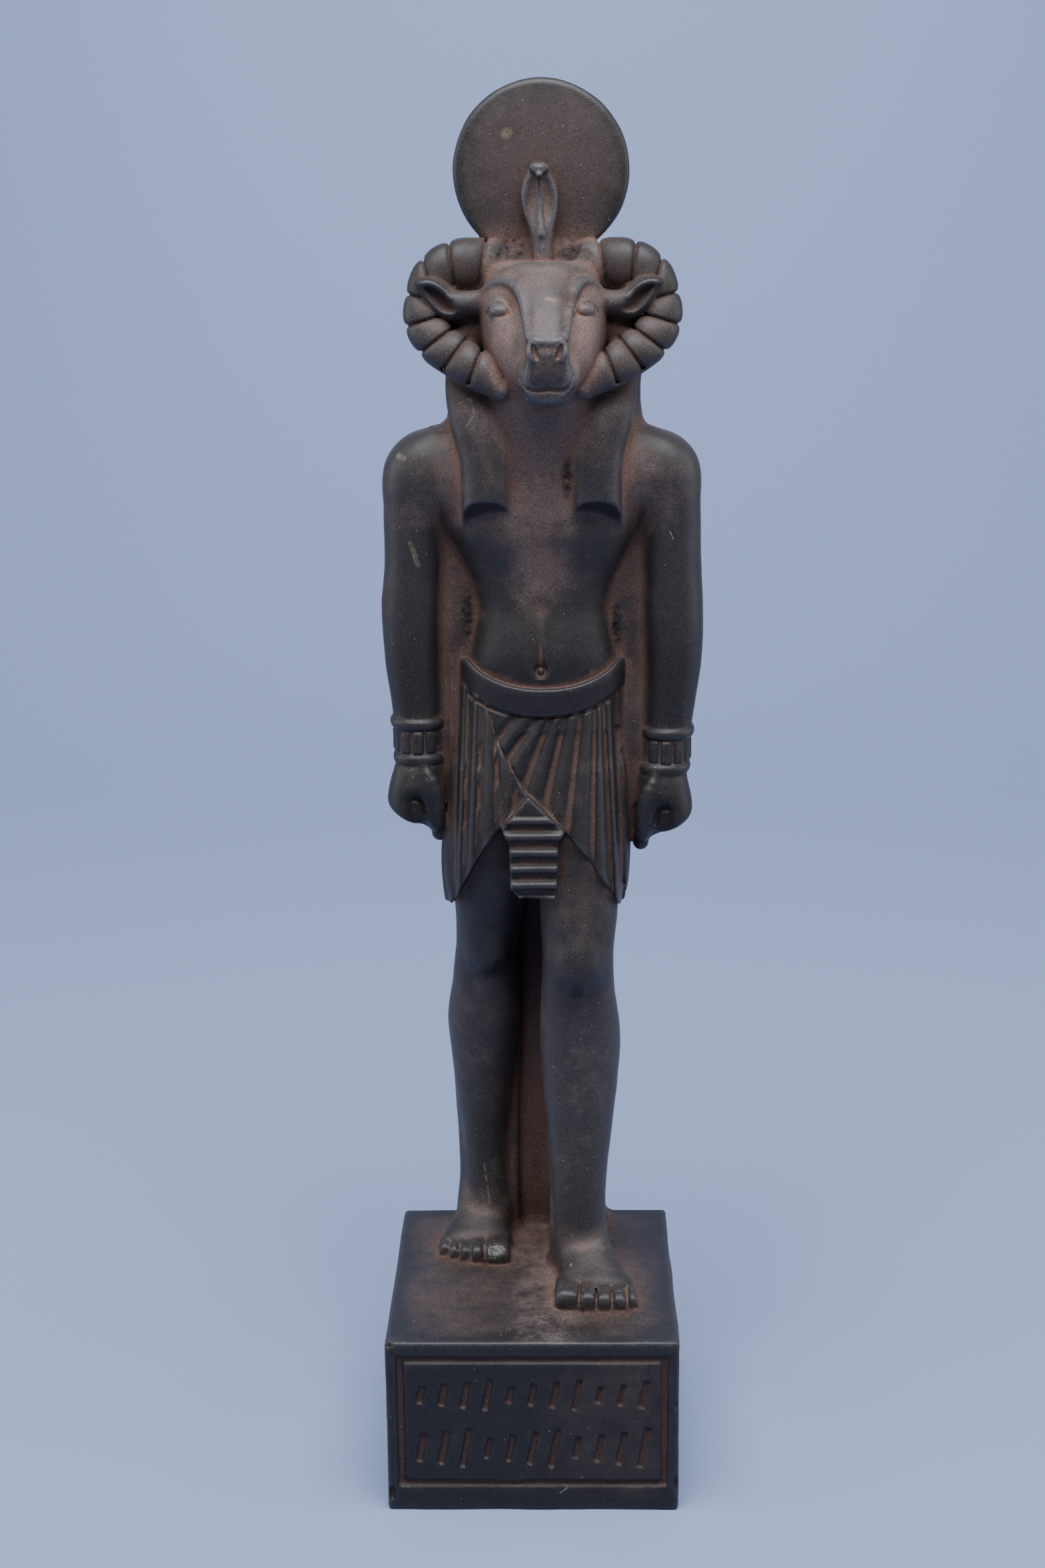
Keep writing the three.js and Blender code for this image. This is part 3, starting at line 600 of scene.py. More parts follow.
def foot(whole, heel, toes, edges, tips):
    clay.add(instep(heel, toes), 3)
    outward = 1 if edges[1] > edges[0] else -1
    for i, tip in enumerate(tips):
        x, wide = (edges[i] + edges[i + 1]) / 2, abs(edges[i + 1] - edges[i]) + 0.5
        tall = TOES["tall"] - TOES["step"] * i
        clay.add(toe(x, tip, wide, tall, outward * (1 - i) * 0.45), 1.2)
        if whole or i:
            nail(x, tip, wide / 2)
    for i, edge in enumerate(edges[1:-1]):
        tip = (tips[i] + tips[i + 1]) / 2
        inward = outward * (0.25 - 0.3 * i)
        size = 0.6 if whole or i else 1.0
        top = [
            (edge, tip + 1.6, size),
            (edge + inward, tip + 5, size * 0.9),
            (edge + 2 * inward, tip + 9.6 - 1.4 * i, 0.35),
        ]
        face = [(edge, GROUND + z, size) for z in (6.4, 4.4, 1.6)]
        clay.cut(trail(top, 8, 0.1, "top"), 0.5)
        clay.cut(trail(face, 6, 0.1), 0.5)
    under = np.linspace(edges[0] + outward * 1.5, edges[-1] - outward * 1.5, 6)
    clay.cut(trail([(x, GROUND + 1.2, 0.55) for x in under], 16, 0.1), 0.5)


foot(**LEFT_FOOT)
foot(**RIGHT_FOOT)
stub_x = (RIGHT_FOOT["edges"][0] + RIGHT_FOOT["edges"][1]) / 2
stub_y = RIGHT_FOOT["tips"][0]
clay.cut(egg((stub_x - 0.5, stub_y - 1.6, GROUND + 8.2), (4.2, 4.4, 4.2)), 0.3)
clay.add(egg((stub_x - 1.2, stub_y + 2.6, GROUND + 5.6), (1.5, 1.0, 1.2)), 0.6)
clay.cut(egg((-27.2, 12.4, GROUND + 8.8), (1.0, 1.6, 1.6)), 0.5)

# The kilt is wrapped round the hips with its right panel lapped over, all in narrow folds that
# run straight on the panel and fan out above it. Its hem rises in two arches to the apron.
KILT = [
    [184, -2.2, 17, 28.4, 22.4, 21],
    [203, -2.3, 17, 30.2, 23.6, 21],
    [230, -1.6, 17.5, 28.9, 21, 20],
    [257, -0.6, 18, 27.2, 17.4, 19],
    [268, 0, 18, 26, 16, 18],
]
KILT_ROUND = 2.4
# The grooves between the folds, from the belt down: x and z at the top, x and z at the foot.
LAP_GROOVES = [
    (-27.9, 262, -29.4, 202),
    (-23.6, 262, -26.4, 200),
    (-19.6, 262, -21.6, 209),
    (-15.2, 245.5, -14.4, 218),
    (-9.9, 233.6, -9.1, 225),
]
FAN_GROOVES = [
    (-27.9, 262, -29.4, 202),
    (-9.7, 252.6, -14.3, 247.4),
    (-2.6, 252.3, -11.2, 240.9),
    (1.6, 252.2, -5.9, 232.5),
    (6.5, 251.7, 0.5, 225.1),
    (11.7, 252.2, 7.8, 219),
    (16.8, 252.7, 15.7, 210.7),
    (19.5, 254.2, 22.2, 200.4),
    (23.2, 256.6, 25.6, 194.2),
]
LAP_EDGE = [(217.5, 6.4), (228.5, -4.9), (245, -14.7), (256, -18), (262, -18.6)]
LAP = {"proud": 1.0, "foot": (-13.0, 217.0)}
FOLD = {"deep": 1.7, "widest": 8.4, "side_pitch": 5.4, "narrow": 1.8, "flat": 1.2,
        "faint": 0.4}
CLOTH = 2.5
# Beyond this line the folds of the left side begin: heights, then x.
BEYOND_FAN = ((190.0, 260.0), (27.2, 24.6))
# The hem's two arches, left and right as they lie in the front view.
ARCHES = {
    "left": {"from": -13.0, "reach": 17.5, "high": 218.5, "drop": 28.5},
    "right": {"from": 6.0, "reach": 21.4, "high": 217.2, "drop": 31.4},
}
HEM_CORNER = 187.6


def hem_height(x):
    """The kilt's lower edge across its front."""
    left, right = ARCHES["left"], ARCHES["right"]
    share = np.clip((left["from"] - x) / left["reach"], 0, 1)
    on_left = left["high"] - left["drop"] * share**1.3
    share = np.clip((x - right["from"]) / right["reach"], 0, 1)
    on_right = right["high"] - right["drop"] * share**1.3
    return np.where(x < 0, on_left, on_right)


def creases(places, lines):
    """How deep in a crease a place is, 1 along each line and 0 along the crest of a fold."""
    deep = 0
    for i, line in enumerate(lines):
        before = line - lines[i - 1] if i else FOLD["widest"]
        after = lines[i + 1] - line if i < len(lines) - 1 else FOLD["widest"]
        gap = places - line
        room = np.clip(np.where(gap < 0, before, after), 0.2, FOLD["widest"]) / 2
        deep = np.maximum(deep, np.clip(1 - np.abs(gap) / room, 0, 1))
    return np.clip(deep * FOLD["flat"], 0, 1) ** FOLD["narrow"]


def belt_rise(u):
    """How much higher the belt lies at a share of the hips' half width than in the middle."""
    u = np.clip(u, -1, 1)
    return 6.0 * u**2 + 1.8 * u**4


def kilt(grooves, proud):
    """The kilt's body with one layer of folds, so far proud of its skin."""
    low, high, _ = loft(KILT)

    def distance(x, y, z):
        out, u, v = skin(KILT, KILT_ROUND, x, y, z)
        for leg in (RIGHT_LEG, LEFT_LEG):
            over_leg = CLOTH - 4 * np.clip((z - 236) / 20, 0, 1)
            out = merged(out, skin(leg, LEG_ROUND, x, y, z)[0] - over_leg, 4)
        lines = [x0 + (x1 - x0) * (z - z0) / (z1 - z0) for x0, z0, x1, z1 in grooves]
        ahead = creases(x, lines)
        corner_y = 17 - 23 * (1 - 0.9**KILT_ROUND) ** (1 / KILT_ROUND)
        pitch = FOLD["side_pitch"]
        at_side = creases(y, [corner_y + pitch * i for i in range(5)])
        side_line = np.interp(z, *BEYOND_FAN)
        side = np.clip(np.maximum(lines[0] - x, x - side_line) / 2 + 0.5, 0, 1)
        deep = FOLD["faint"] * at_side * side + np.where(v < 0, ahead, 0) * (1 - side)
        out = out - proud + FOLD["deep"] * deep
        hem = hem_height(x)
        steep = np.sqrt(1 + np.gradient(hem, axis=0) ** 2 / (CELL * COARSE) ** 2)
        under = HEM_CORNER + (hem - HEM_CORNER) * np.sqrt(np.clip((17 - y) / 18, 0, 1))
        out = both(out, (under - z) / steep, 0.8)
        return both(out, z - np.where(v < 0, 256 + belt_rise(u), 262))

    return low, high, distance


def lap():
    """The panel on top, cut off along its slanting edge."""
    low, high, whole = kilt(LAP_GROOVES, LAP["proud"])
    heights, edges = zip(*LAP_EDGE)
    foot_x, foot_z = LAP["foot"]

    def distance(x, y, z):
        edge = np.interp(z, heights, edges)
        edge = np.where(z < foot_z, foot_x, edge)
        return both(both(whole(x, y, z), (x - edge) * 0.8, 0.4), y - 17)

    return low, high, distance


def outline(points, x, z):
    """How far places in the front view are from a drawn outline, less than 0 inside it."""
    best = np.full(np.broadcast(x, z).shape, FAR**2)
    inside = np.zeros(best.shape, bool)
    for (ax, az), (bx, bz) in zip(points, points[1:] + points[:1]):
        ex, ez = bx - ax, bz - az
        share = np.clip(((x - ax) * ex + (z - az) * ez) / (ex * ex + ez * ez), 0, 1)
        best = np.minimum(best, (x - ax - ex * share) ** 2 + (z - az - ez * share) ** 2)
        if ez:
            crosses = (z < az) != (z < bz)
            inside ^= crosses & (x < ax + ex * (z - az) / ez)
    return np.where(inside, -1, 1) * np.sqrt(best)


APRON = [
    (-4.9, 229.6), (-13.8, 218.6), (-11.2, 213.6), (-10.8, 198.4), (-8.2, 195.4), (4, 195),
    (4.7, 198), (4.7, 213.6), (6.6, 217.6),
]
APRON_FACE = -7.4
ROLL = {"top": 223.2, "pitch": 5.42, "share": 0.6, "proud": 1.7}


def apron():
    """A peaked tongue that hangs from the lap, crossed by rolls with flats between them."""
    low = (-14, APRON_FACE - ROLL["proud"], 194)
    high = (7, 8, 230)

    def distance(x, y, z):
        turn = (ROLL["top"] - z) / ROLL["pitch"]
        phase = turn % 1 / ROLL["share"]
        proud = np.clip(phase * (1 - phase) * 4, 0, 1) ** 0.55
        proud = np.where(turn > 0, np.where(phase < 1, proud, 0), 0.5)
        face = APRON_FACE + 0.3 - ROLL["proud"] * proud
        out = both(outline(APRON, x, z), face - y, 1.2)
        return both(out, y - 8)

    return low, high, distance


clay.add(kilt(FAN_GROOVES, 0.0), 1.0)
clay.add(lap(), 0.2)
edge_groove = [(x + 0.5, z, 0.35) for z, x in LAP_EDGE[:-1]]
clay.cut(trail(edge_groove, 24, 0.1), 0.3)
clay.add(apron(), 0.3)

# The trunk is slim, with soft breast muscles, a hollow down its middle to a deep navel, and a
# full belly. A plain belt is cast on the hips over the kilt, and dips at the front.
TORSO = [
    [250, 0, 18, 26.4, 17, 18],
    [264, 0, 18, 25.2, 17.2, 18],
    [272, 0, 18, 23.9, 17.8, 18],
    [280, 0, 18, 22.2, 16.8, 18],
    [288, 0, 18, 21.2, 15.4, 18],
    [296, 0, 18, 22.8, 15.4, 18],
    [304, 0, 18, 26.2, 16.8, 18],
    [312, 0, 18, 30.2, 18.2, 18.5],
    [322, 0, 18, 34, 18, 19],
    [334, 0, 18, 38.5, 16.6, 19],
    [341.5, 0, 18, 37, 14.5, 17],
    [347.8, 0, 19, 27, 12, 15],
]
BREAST = {"x": 14.5, "z": 314.0, "proud": 2.1, "wide": 10.0, "below": 9.5, "above": 13.0}
BELLY = {"z": 273.0, "proud": 0.5, "wide": 14.0, "tall": 9.0}
NAVEL = {"x": -0.6, "z": 268.7, "radius": 2.2}
BELT = {"foot": 254.2, "top": 263.2, "proud": 2.4, "at_side": 2.3, "lean": 0.9}


def muscles(u, v, z):
    """How far the breast and belly swell, less a shallow hollow down the middle."""
    x = u * section(TORSO, z)[2]
    aside = (np.abs(x) - BREAST["x"]) / BREAST["wide"]
    height = z - BREAST["z"]
    above = height / np.where(height > 0, BREAST["above"], BREAST["below"])
    belly = ((z - BELLY["z"]) / BELLY["tall"]) ** 2 + (x / BELLY["wide"]) ** 2
    swell = BREAST["proud"] * np.exp(-(aside**2) - above**2) + BELLY["proud"] * np.exp(-belly)
    middle = 0.7 * np.exp(-((x / 4.5) ** 2) - ((z - 304) / 15) ** 2)
    return np.where(v < 0, swell - middle, 0)


def belt():
    low, high, _ = loft(TORSO)
    foot_z, top_z = BELT["foot"], BELT["top"]

    def distance(x, y, z):
        out, u, v = skin(TORSO, 2.3, x, y, z)
        lift = belt_rise(np.where(v > 0, 1, u))
        middle = (foot_z + top_z) / 2 + lift
        across = np.abs(z - middle) / ((top_z - foot_z) / 2)
        crown = 0.12 * np.clip(1 - across**2, 0, 1)
        proud = BELT["proud"] + (BELT["at_side"] - BELT["proud"]) * np.clip(u, -1, 1) ** 4 + crown
        proud = proud + BELT["lean"] * np.clip((z - middle) / (top_z - foot_z), -0.5, 0.5)
        return both(out - proud, (across - 1) * (top_z - foot_z) / 2, 0.8)

    return low, (high[0], high[1], 275), distance


clay.add(loft(TORSO, 2.3, muscles), 3)
clay.add(belt(), 0.2)
under_belt = [(x, BELT["foot"] + belt_rise(x / 26.4) - 0.5, 0.55) for x in range(-24, 25, 6)]
clay.cut(trail(under_belt, 40, 0.1), 0.4)
navel_x, navel_z = NAVEL["x"], NAVEL["z"]
dip = [(navel_x, navel_z + up, radius) for up, radius in ((2, 3.4), (10, 3.6), (20, 3.2))]
clay.cut(trail(dip, 8, -2.5), 2.5)
drop = [(navel_x, navel_z + up, radius) for up, radius in ((1.4, 1.3), (4.4, 0.9), (8.5, 0.4))]
clay.cut(trail(drop, 8, -0.2), 0.6)
navel_y = clay.meet(navel_x + 3, navel_z, "front")
clay.cut(egg((navel_x, navel_y + 0.3, navel_z), (NAVEL["radius"], 2.4, NAVEL["radius"])), 0.4)
clay.add(egg((navel_x, navel_y + 2.2, navel_z - 0.4), (1.5, 1.0, 1.4)), 0.5)

# The arms hang at the sides with closed hands, full at the shoulder and straight to the wrist.
# Each wears a wide bracelet, an upright row of blocks between two round bands.
ARM = [
    [224, 40.6, 14, 7.7, 8.5, 9],
    [240, 40.6, 15, 7.7, 9, 9.5],
    [254, 41, 16, 8.3, 10, 10.5],
    [268, 42.5, 17, 8.9, 11, 11.5],
    [285, 42.6, 18, 9.5, 12, 12.5],
    [304, 41.8, 18, 9.3, 12.2, 12.5],
    [320, 41.2, 18, 9.8, 12.8, 13],
    [328, 40.6, 18, 10.2, 13.4, 13.4],
    [334, 39.4, 18, 10.2, 13, 13],
    [339, 37, 18, 9.6, 11.6, 12],
    [342.6, 34, 18, 8, 9, 10],
    [344.8, 30.5, 18, 5, 6, 7],
]
FIST = [
    [206, 41, 14, 5, 6, 7],
    [213, 42, 13, 7.8, 9.4, 10],
    [221, 42.4, 12.5, 9, 10.8, 11],
    [228, 42, 13, 9, 10.4, 10.6],
    [237, 40.8, 14, 7.8, 9, 9.6],
]
ARM_ROUND = 2.3
BRACELET = {"top": 251.9, "height": 15.4, "band": 3.7, "proud": 1.15, "blocks": 12}


def at_side(form, side, lowered=0.0):
    """A form of the figure's left, placed at either side or lowered."""
    low, high, distance = form
    lower_end = (low[0], low[1], low[2] - lowered)
    upper_end = (high[0], high[1], high[2] - lowered)
    if side < 0:
        lower_end, upper_end = (-high[0], *lower_end[1:]), (-low[0], *upper_end[1:])
    return lower_end, upper_end, lambda x, y, z: distance(side * x, y, z + lowered)


def tucked(stations, tuck):
    """The stations of an arm whose lower end hangs nearer to the body."""
    moved = []
    for z, x, *rest in stations:
        moved.append([z, x - tuck * min(max((246 - z) / 18, 0), 1), *rest])
    return moved


def bracelet_blocks(limb, foot, top):
    """The upright blocks, set round the wrist like beads on a ring."""
    height = (foot + top) / 2
    x, y, half, front, back = (float(v) for v in section(limb, np.float32(height)))
    ring = Growth(
        "bracelet blocks",
        Count=BRACELET["blocks"],
        Centre=(x, y + (back - front) / 2, height),
        Reach=(half - 0.9, (front + back) / 2 - 0.9, 1.0),
        Block=(2.4, 2.2, top - foot - 1.9),
    )
    given = ring.inputs
    start = given["Count"]
    circle = start.node("GeometryNodeMeshCircle", None, {"Vertices": start, "Radius": 1.0})
    oval = start.node(
        "GeometryNodeTransform",
        None,
        {"Geometry": circle, "Translation": given["Centre"], "Scale": given["Reach"]},
    )
    bead = start.node("GeometryNodeMeshCube", None, {"Size": given["Block"]})
    turn = start.node("GeometryNodeInputIndex") * (math.tau / BRACELET["blocks"])
    facing = start.node("ShaderNodeCombineXYZ", None, {0: 0.0, 1: 0.0, 2: turn})
    beads = start.node(
        "GeometryNodeInstanceOnPoints",
        None,
        {"Points": oval, "Instance": bead, "Rotation": facing},
    )
    return swollen(*ring.finish(beads, cast_stone), 0.6)


def band(limb, middle, half, proud):
    """One round band round the wrist."""
    low, high, _ = loft(limb)
    low = (low[0] - 2, low[1] - 2, middle - half)
    high = (high[0] + 2, high[1] + 2, middle + half)

    def distance(x, y, z):
        out, _, _ = skin(limb, ARM_ROUND, x, y, z)
        across = np.clip(1 - ((z - middle) / half) ** 2, 0, 1)
        return both(out - proud * np.sqrt(across), np.abs(z - middle) - half)

    return low, high, distance


def arm(side, lowered, tuck):
    limb = tucked(ARM, tuck)
    top = BRACELET["top"] - lowered
    foot = top - BRACELET["height"]
    width = BRACELET["band"]
    clay.add(at_side(loft(limb, ARM_ROUND), side), 3.5)
    shoulder = [(22, 17, 329.5, 12.2), (30, 17.2, 329.8, 12.2), (37, 18, 328.6, 11.6)]
    clay.add(at_side(strand(shoulder, 5), side), 5)
    clay.add(at_side(bracelet_blocks(limb, foot + width, top - width), side), 0.2)
    for middle in (foot + width / 2, top - width / 2):
        clay.add(at_side(band(limb, middle, width / 2, BRACELET["proud"]), side), 0.3)
    hand(side, lowered, tuck)


# Places on a closed hand in the front view: x from the wrist's middle outward, z, radius.
HAND_X = 40.0
THUMB = [(1.2, 236, 1.6), (3.2, 231, 3.0), (4.6, 225, 3.1), (5.2, 218, 2.9), (5.6, 213.2, 2.7)]
GRIP = [(-2.0, 225.4, 2.8), (-1.2, 221.6, 3.4), (0.4, 217.6, 2.8), (1.6, 214.6, 1.8)]
GRIP_HOLE = [(-2.8, 225.6, 0.6), (-0.6, 225.6, 0.9), (0.8, 223.8, 0.9), (1.4, 220.6, 0.6)]
KNUCKLE_SLANT = {"z": 216.2, "degrees": 26.0}


def hand(side, lowered, tuck):
    """A closed hand seen from its thumb side: the fingers roll round a dished hollow with a
    deep slot in it, and the thumb lies straight down across them."""
    middle = HAND_X - tuck

    def placed(points):
        return [(side * (middle - x), z - lowered, radius) for x, z, radius in points]

    palm = [[z, x - tuck, *rest] for z, x, *rest in FIST]
    form_low, form_high, whole = loft(palm, 2.5, None, 2.5)
    tilt = math.radians(KNUCKLE_SLANT["degrees"])

    def slanted(x, y, z):
        under = (KNUCKLE_SLANT["z"] - z) * math.cos(tilt) + (x - middle) * math.sin(tilt)
        return both(whole(x, y, z), under, 3.5)

    clay.add(at_side((form_low, form_high, slanted), side, lowered), 1.5)
    thumb, hole = trail(placed(THUMB), 10, 0.9), trail(placed(GRIP_HOLE), 8, 2.6)
    clay.cut(trail(placed(GRIP), 8, -0.4), 2.4)
    clay.add(thumb, 1.2)
    clay.cut(hole, 0.6)
    for i in range(3):
        y = 8 + 5.2 * i
        parting = [
            (middle + 11.8, y, 224, 0.5),
            (middle + 10.6, y - 0.4, 219.4, 0.9),
            (middle + 5.6, y - 0.8, 216, 0.9),
            (middle - 1, y - 0.8, 213.4, 0.6),
        ]
        clay.cut(at_side(strand(parting, 8), side, lowered), 0.8)


arm(-1, 0.0, 0.0)
arm(1, 3.6, 2.4)

# The wig is a smooth mass behind the head, with two long lappets on the breast that are cut off
# on the slant. Its underside and the throat are cast solid with the body.
WIG = [
    [332, 0.6, 20, 31, 15, 19],
    [345, 1.2, 20, 31.6, 16, 20.5],
    [353, 1.2, 20, 30.6, 17.5, 21],
    [361, 1, 20, 31, 16, 21],
    [370, 0.7, 20, 33.2, 13.5, 20.5],
    [380, 0.7, 20, 33.6, 13, 19.5],
    [389, 0.7, 19, 31, 12, 18],
    [397, 0.7, 18, 22, 10, 14],
    [402, 0.7, 17, 12, 6, 8],
]
LAPPET = [
    [310, 17.3, 2, 7.7, 7.6, 5],
    [322, 17.3, 2.4, 7.8, 8.8, 5],
    [336, 17.6, 3, 8, 9, 6],
    [346, 19.4, 4, 8.8, 9.2, 6],
    [358, 20.6, 6, 9.4, 8.6, 6],
    [370, 20.4, 9, 8.6, 5, 6],
]
LAPPET_CUT = {"z": 318.6, "slope": math.tan(math.radians(38))}
THROAT = [
    [316, 0, 9, 12, 4, 8],
    [326, 0, 7.4, 15, 6.6, 8],
    [334, 0, 6.6, 17, 8.4, 8],
    [344, 0, 6, 18, 10.6, 8],
    [352, 0, 6, 18, 14, 8],
    [360, 0, 6, 18, 17, 8],
]


def lappet():
    low, high, whole = loft(LAPPET, 2.5)
    slope = LAPPET_CUT["slope"]

    def distance(x, y, z):
        under = (LAPPET_CUT["z"] - y * slope - z) / math.hypot(1, slope)
        return both(whole(x, y, z), under, 0.9)

    return low, high, distance


clay.add(loft(WIG, 2.3), 3)
clay.add(loft(THROAT, 2.3), 6)
for side in (-1, 1):
    clay.add(at_side(lappet(), side), 2.2)

# The head is a ram's. The broad brow runs down in two ridges to a flat nose, the muzzle slopes
# forward to wide lips, and the eyes lie under heavy lids. It is carved crisply on the mould.
SKULL = [
    [350, 0.9, 8, 7, 12, 12],
    [356, 0.9, 8, 11, 16, 12],
    [362, 0.9, 8, 15.6, 18.6, 12],
    [367, 0.8, 8, 17.8, 19, 12],
    [372, 0.7, 8, 18.9, 18.6, 12],
    [379, 0.7, 8, 19.3, 17.6, 12],
    [387, 0.7, 8, 18.4, 15.4, 12],
    [391.5, 0.7, 8, 16.8, 12.4, 12],
    [396, 0.7, 8, 13, 8.4, 12],
]
# The cheeks slope from the bridge of the nose back to the horns on both sides.
CHEEKS = [
    [354, 2, 0, 7, 13, 8],
    [358, 2, 0, 11.2, 17.5, 8],
    [362, 1.9, 0, 14.6, 20.5, 8],
    [367, 1.7, 0, 17, 22.5, 8],
    [373, 1.4, 0, 18.4, 22, 8],
    [380, 1, 0, 18.8, 18.5, 8],
    [387, 0.7, 0, 18, 12.5, 8],
    [393, 0.7, 0, 14, 7.5, 8],
]
# The muzzle's sections are counted along its axis. Its fifth column is the underside.
MUZZLE = [
    [-4, 0.7, 0, 11.4, 9, 12],
    [4, 1.1, 0, 9.6, 8.7, 12],
    [12, 1.6, 0, 7.8, 8.6, 11.8],
    [20, 2, 0, 6.6, 8.6, 10.8],
    [28, 2.2, 0, 6.2, 8.5, 8.8],
    [36, 2.2, 0, 6.6, 7.4, 6.2],
    [42, 2.2, 0, 6.4, 6, 5],
]
MUZZLE_ROOT = {"slope": 38.0, "y": -1.0, "z": 384.5}
NOSE_END = {"y": -29.8, "z": 372.5, "slope": 0.18}
NOSE_X = 2.2
HEAD_X = 0.7
# Lines on the face in the front view, at one side of its middle: x, z, radius.
BROW = [
    (18.2, 386.2, 0.9), (16.6, 388.7, 1.3), (13.4, 390.3, 1.5), (10.2, 389.6, 1.5),
    (8.1, 387, 1.4), (7.0, 383.6, 1.3), (6.4, 380, 1.2), (5.9, 377, 1.1), (5.4, 374.4, 1.0),
]
UPPER_LID = [
    (16.7, 381.6, 0.6), (15.7, 383.3, 0.9), (13.5, 384.4, 1.05), (11.5, 383.8, 1.0),
    (10.2, 382.3, 0.7), (9.6, 381.0, 0.4),
]
LOWER_LID = [
    (15.9, 380.8, 0.3), (14.7, 379.7, 0.45), (13.0, 379.2, 0.5), (11.3, 379.6, 0.45),
    (10.2, 380.6, 0.3),
]
NOSTRIL = [(4.3, 372.2, 0.5), (4.0, 370.6, 1.0), (3.2, 368.8, 0.7)]
NOSTRIL_RIM = [
    (2.7, 373.4, 0.5), (4.1, 373.8, 0.7), (5.3, 372.0, 0.75), (5.4, 369.8, 0.7), (4.4, 368.0, 0.4),
]
MOUTH = [
    (-6.1, 362.7, 0.4), (-4.8, 360.2, 0.6), (-3.1, 359.2, 0.65), (-0.3, 358.6, 0.65),
    (2.4, 359.1, 0.65), (5.1, 358.6, 0.65), (7.5, 359.2, 0.65),
    (9.0, 360.7, 0.6), (10.0, 363.2, 0.4),
]


def muzzle():
    """The sloping muzzle, square in section, its end cut off nearly upright."""
    turn = math.radians(90 + MUZZLE_ROOT["slope"])
    cos, sin = math.cos(turn), math.sin(turn)
    _, _, along = loft(MUZZLE, 3.6, None, 1.5)
    slope = NOSE_END["slope"]

    def distance(x, y, z):
        end = (NOSE_END["y"] + (NOSE_END["z"] - z) * slope - y) / math.hypot(1, slope)
        own_y, own_z = y - MUZZLE_ROOT["y"], z - MUZZLE_ROOT["z"]
        return both(along(x, own_y * cos + own_z * sin, own_z * cos - own_y * sin), end, 1.6)

    return (-11, -32, 350), (13, 12, 396), distance


def mirrored(points, side, middle=HEAD_X):
    return [(middle + side * x, *rest) for x, *rest in points]


def down_nose(points, side):
    """Points at one side of the face, whose middle leans to the nose further in."""
    lean = [(NOSE_X - HEAD_X) * min(max((17 - x) / 9, 0), 1) for x, *_ in points]
    return [(HEAD_X + more + side * x, *rest) for more, (x, *rest) in zip(lean, points)]


clay.add(loft(SKULL, 2.5, None, 2.5), 1.5)
clay.add(loft(CHEEKS, 1.8, None, 2.0), 3)
clay.add(muzzle(), 4)
clay.add(egg((NOSE_X - 0.1, -19.4, 366.0), (7.0, 9.6, 8.4)), 2.5)
for side in (-1, 1):
    clay.add(egg((NOSE_X + side * 4.2, -19.6, 362.6), (5.5, 8.0, 6.4)), 2.5)
lip = [(-4.6, -20.6, 358.6, 1.6), (-2, -24, 356.9, 1.9), (2.1, -25, 356.5, 2.0),
       (6.2, -24, 356.9, 1.9), (8.8, -20.6, 358.6, 1.6)]
clay.add(egg((NOSE_X - 0.1, -18, 357.6), (7.2, 6.6, 4.2)), 1.5)
clay.add(strand(lip, 10), 1.0)
for side in (-1, 1):
    eye_x = HEAD_X + side * 13.1
    eye_y = clay.meet(eye_x, 382, "front")
    facing = Matrix.Rotation(side * math.radians(28), 3, "Z")
    clay.cut(egg((eye_x, eye_y - 1.1, 383.9), (5.8, 2.6, 4.2), facing), 1.8)
    clay.add(trail(down_nose(BROW, side), 24, 0.2), 1.6)
    clay.add(egg((eye_x, eye_y + 1.7, 381.6), (3.2, 2.3, 2.2), facing), 0.3)
    clay.add(trail(mirrored(UPPER_LID, side), 16, 0.1), 0.4)
    clay.add(trail(mirrored(LOWER_LID, side), 14, 0.3), 0.6)
    rim = trail(mirrored(NOSTRIL_RIM, side, NOSE_X), 14, 0.35)
    clay.cut(trail(mirrored(NOSTRIL, side, NOSE_X), 8, 0.4), 0.4)
    clay.add(rim, 0.9)
recess = [(NOSE_X - 2, 371.6, 1.2), (NOSE_X, 371.2, 1.4), (NOSE_X + 2, 371.6, 1.2)]
clay.cut(trail(recess, 6, -0.9), 1.2)
clay.cut(trail(MOUTH, 30, 0.1), 0.3)

# The ears stand out level below the horns, each a pointed cup with a rolled rim and a pit at
# its root. They are cast on the horns and the wig, with no gap behind.
EAR_MIDDLE = -0.3
EAR_EDGE = [
    (19.0, 386.6), (24.6, 387.2), (29.8, 390.8), (33.6, 391.6), (37.6, 390.8), (37.2, 388.2),
    (33.9, 382.6), (28.4, 378.8), (23.0, 379.6), (19.0, 381.4),
]
EAR_CUP = [
    (36.2, 389.7), (33.6, 389.9), (30.2, 388.4), (27.0, 385.4), (24.8, 382.4), (26.2, 380.5),
    (30.2, 380.9), (33.4, 384.0), (35.3, 387.0),
]
EAR = {"front": -3.6, "back": 4.5, "cup": 3.0, "rim": 0.85}


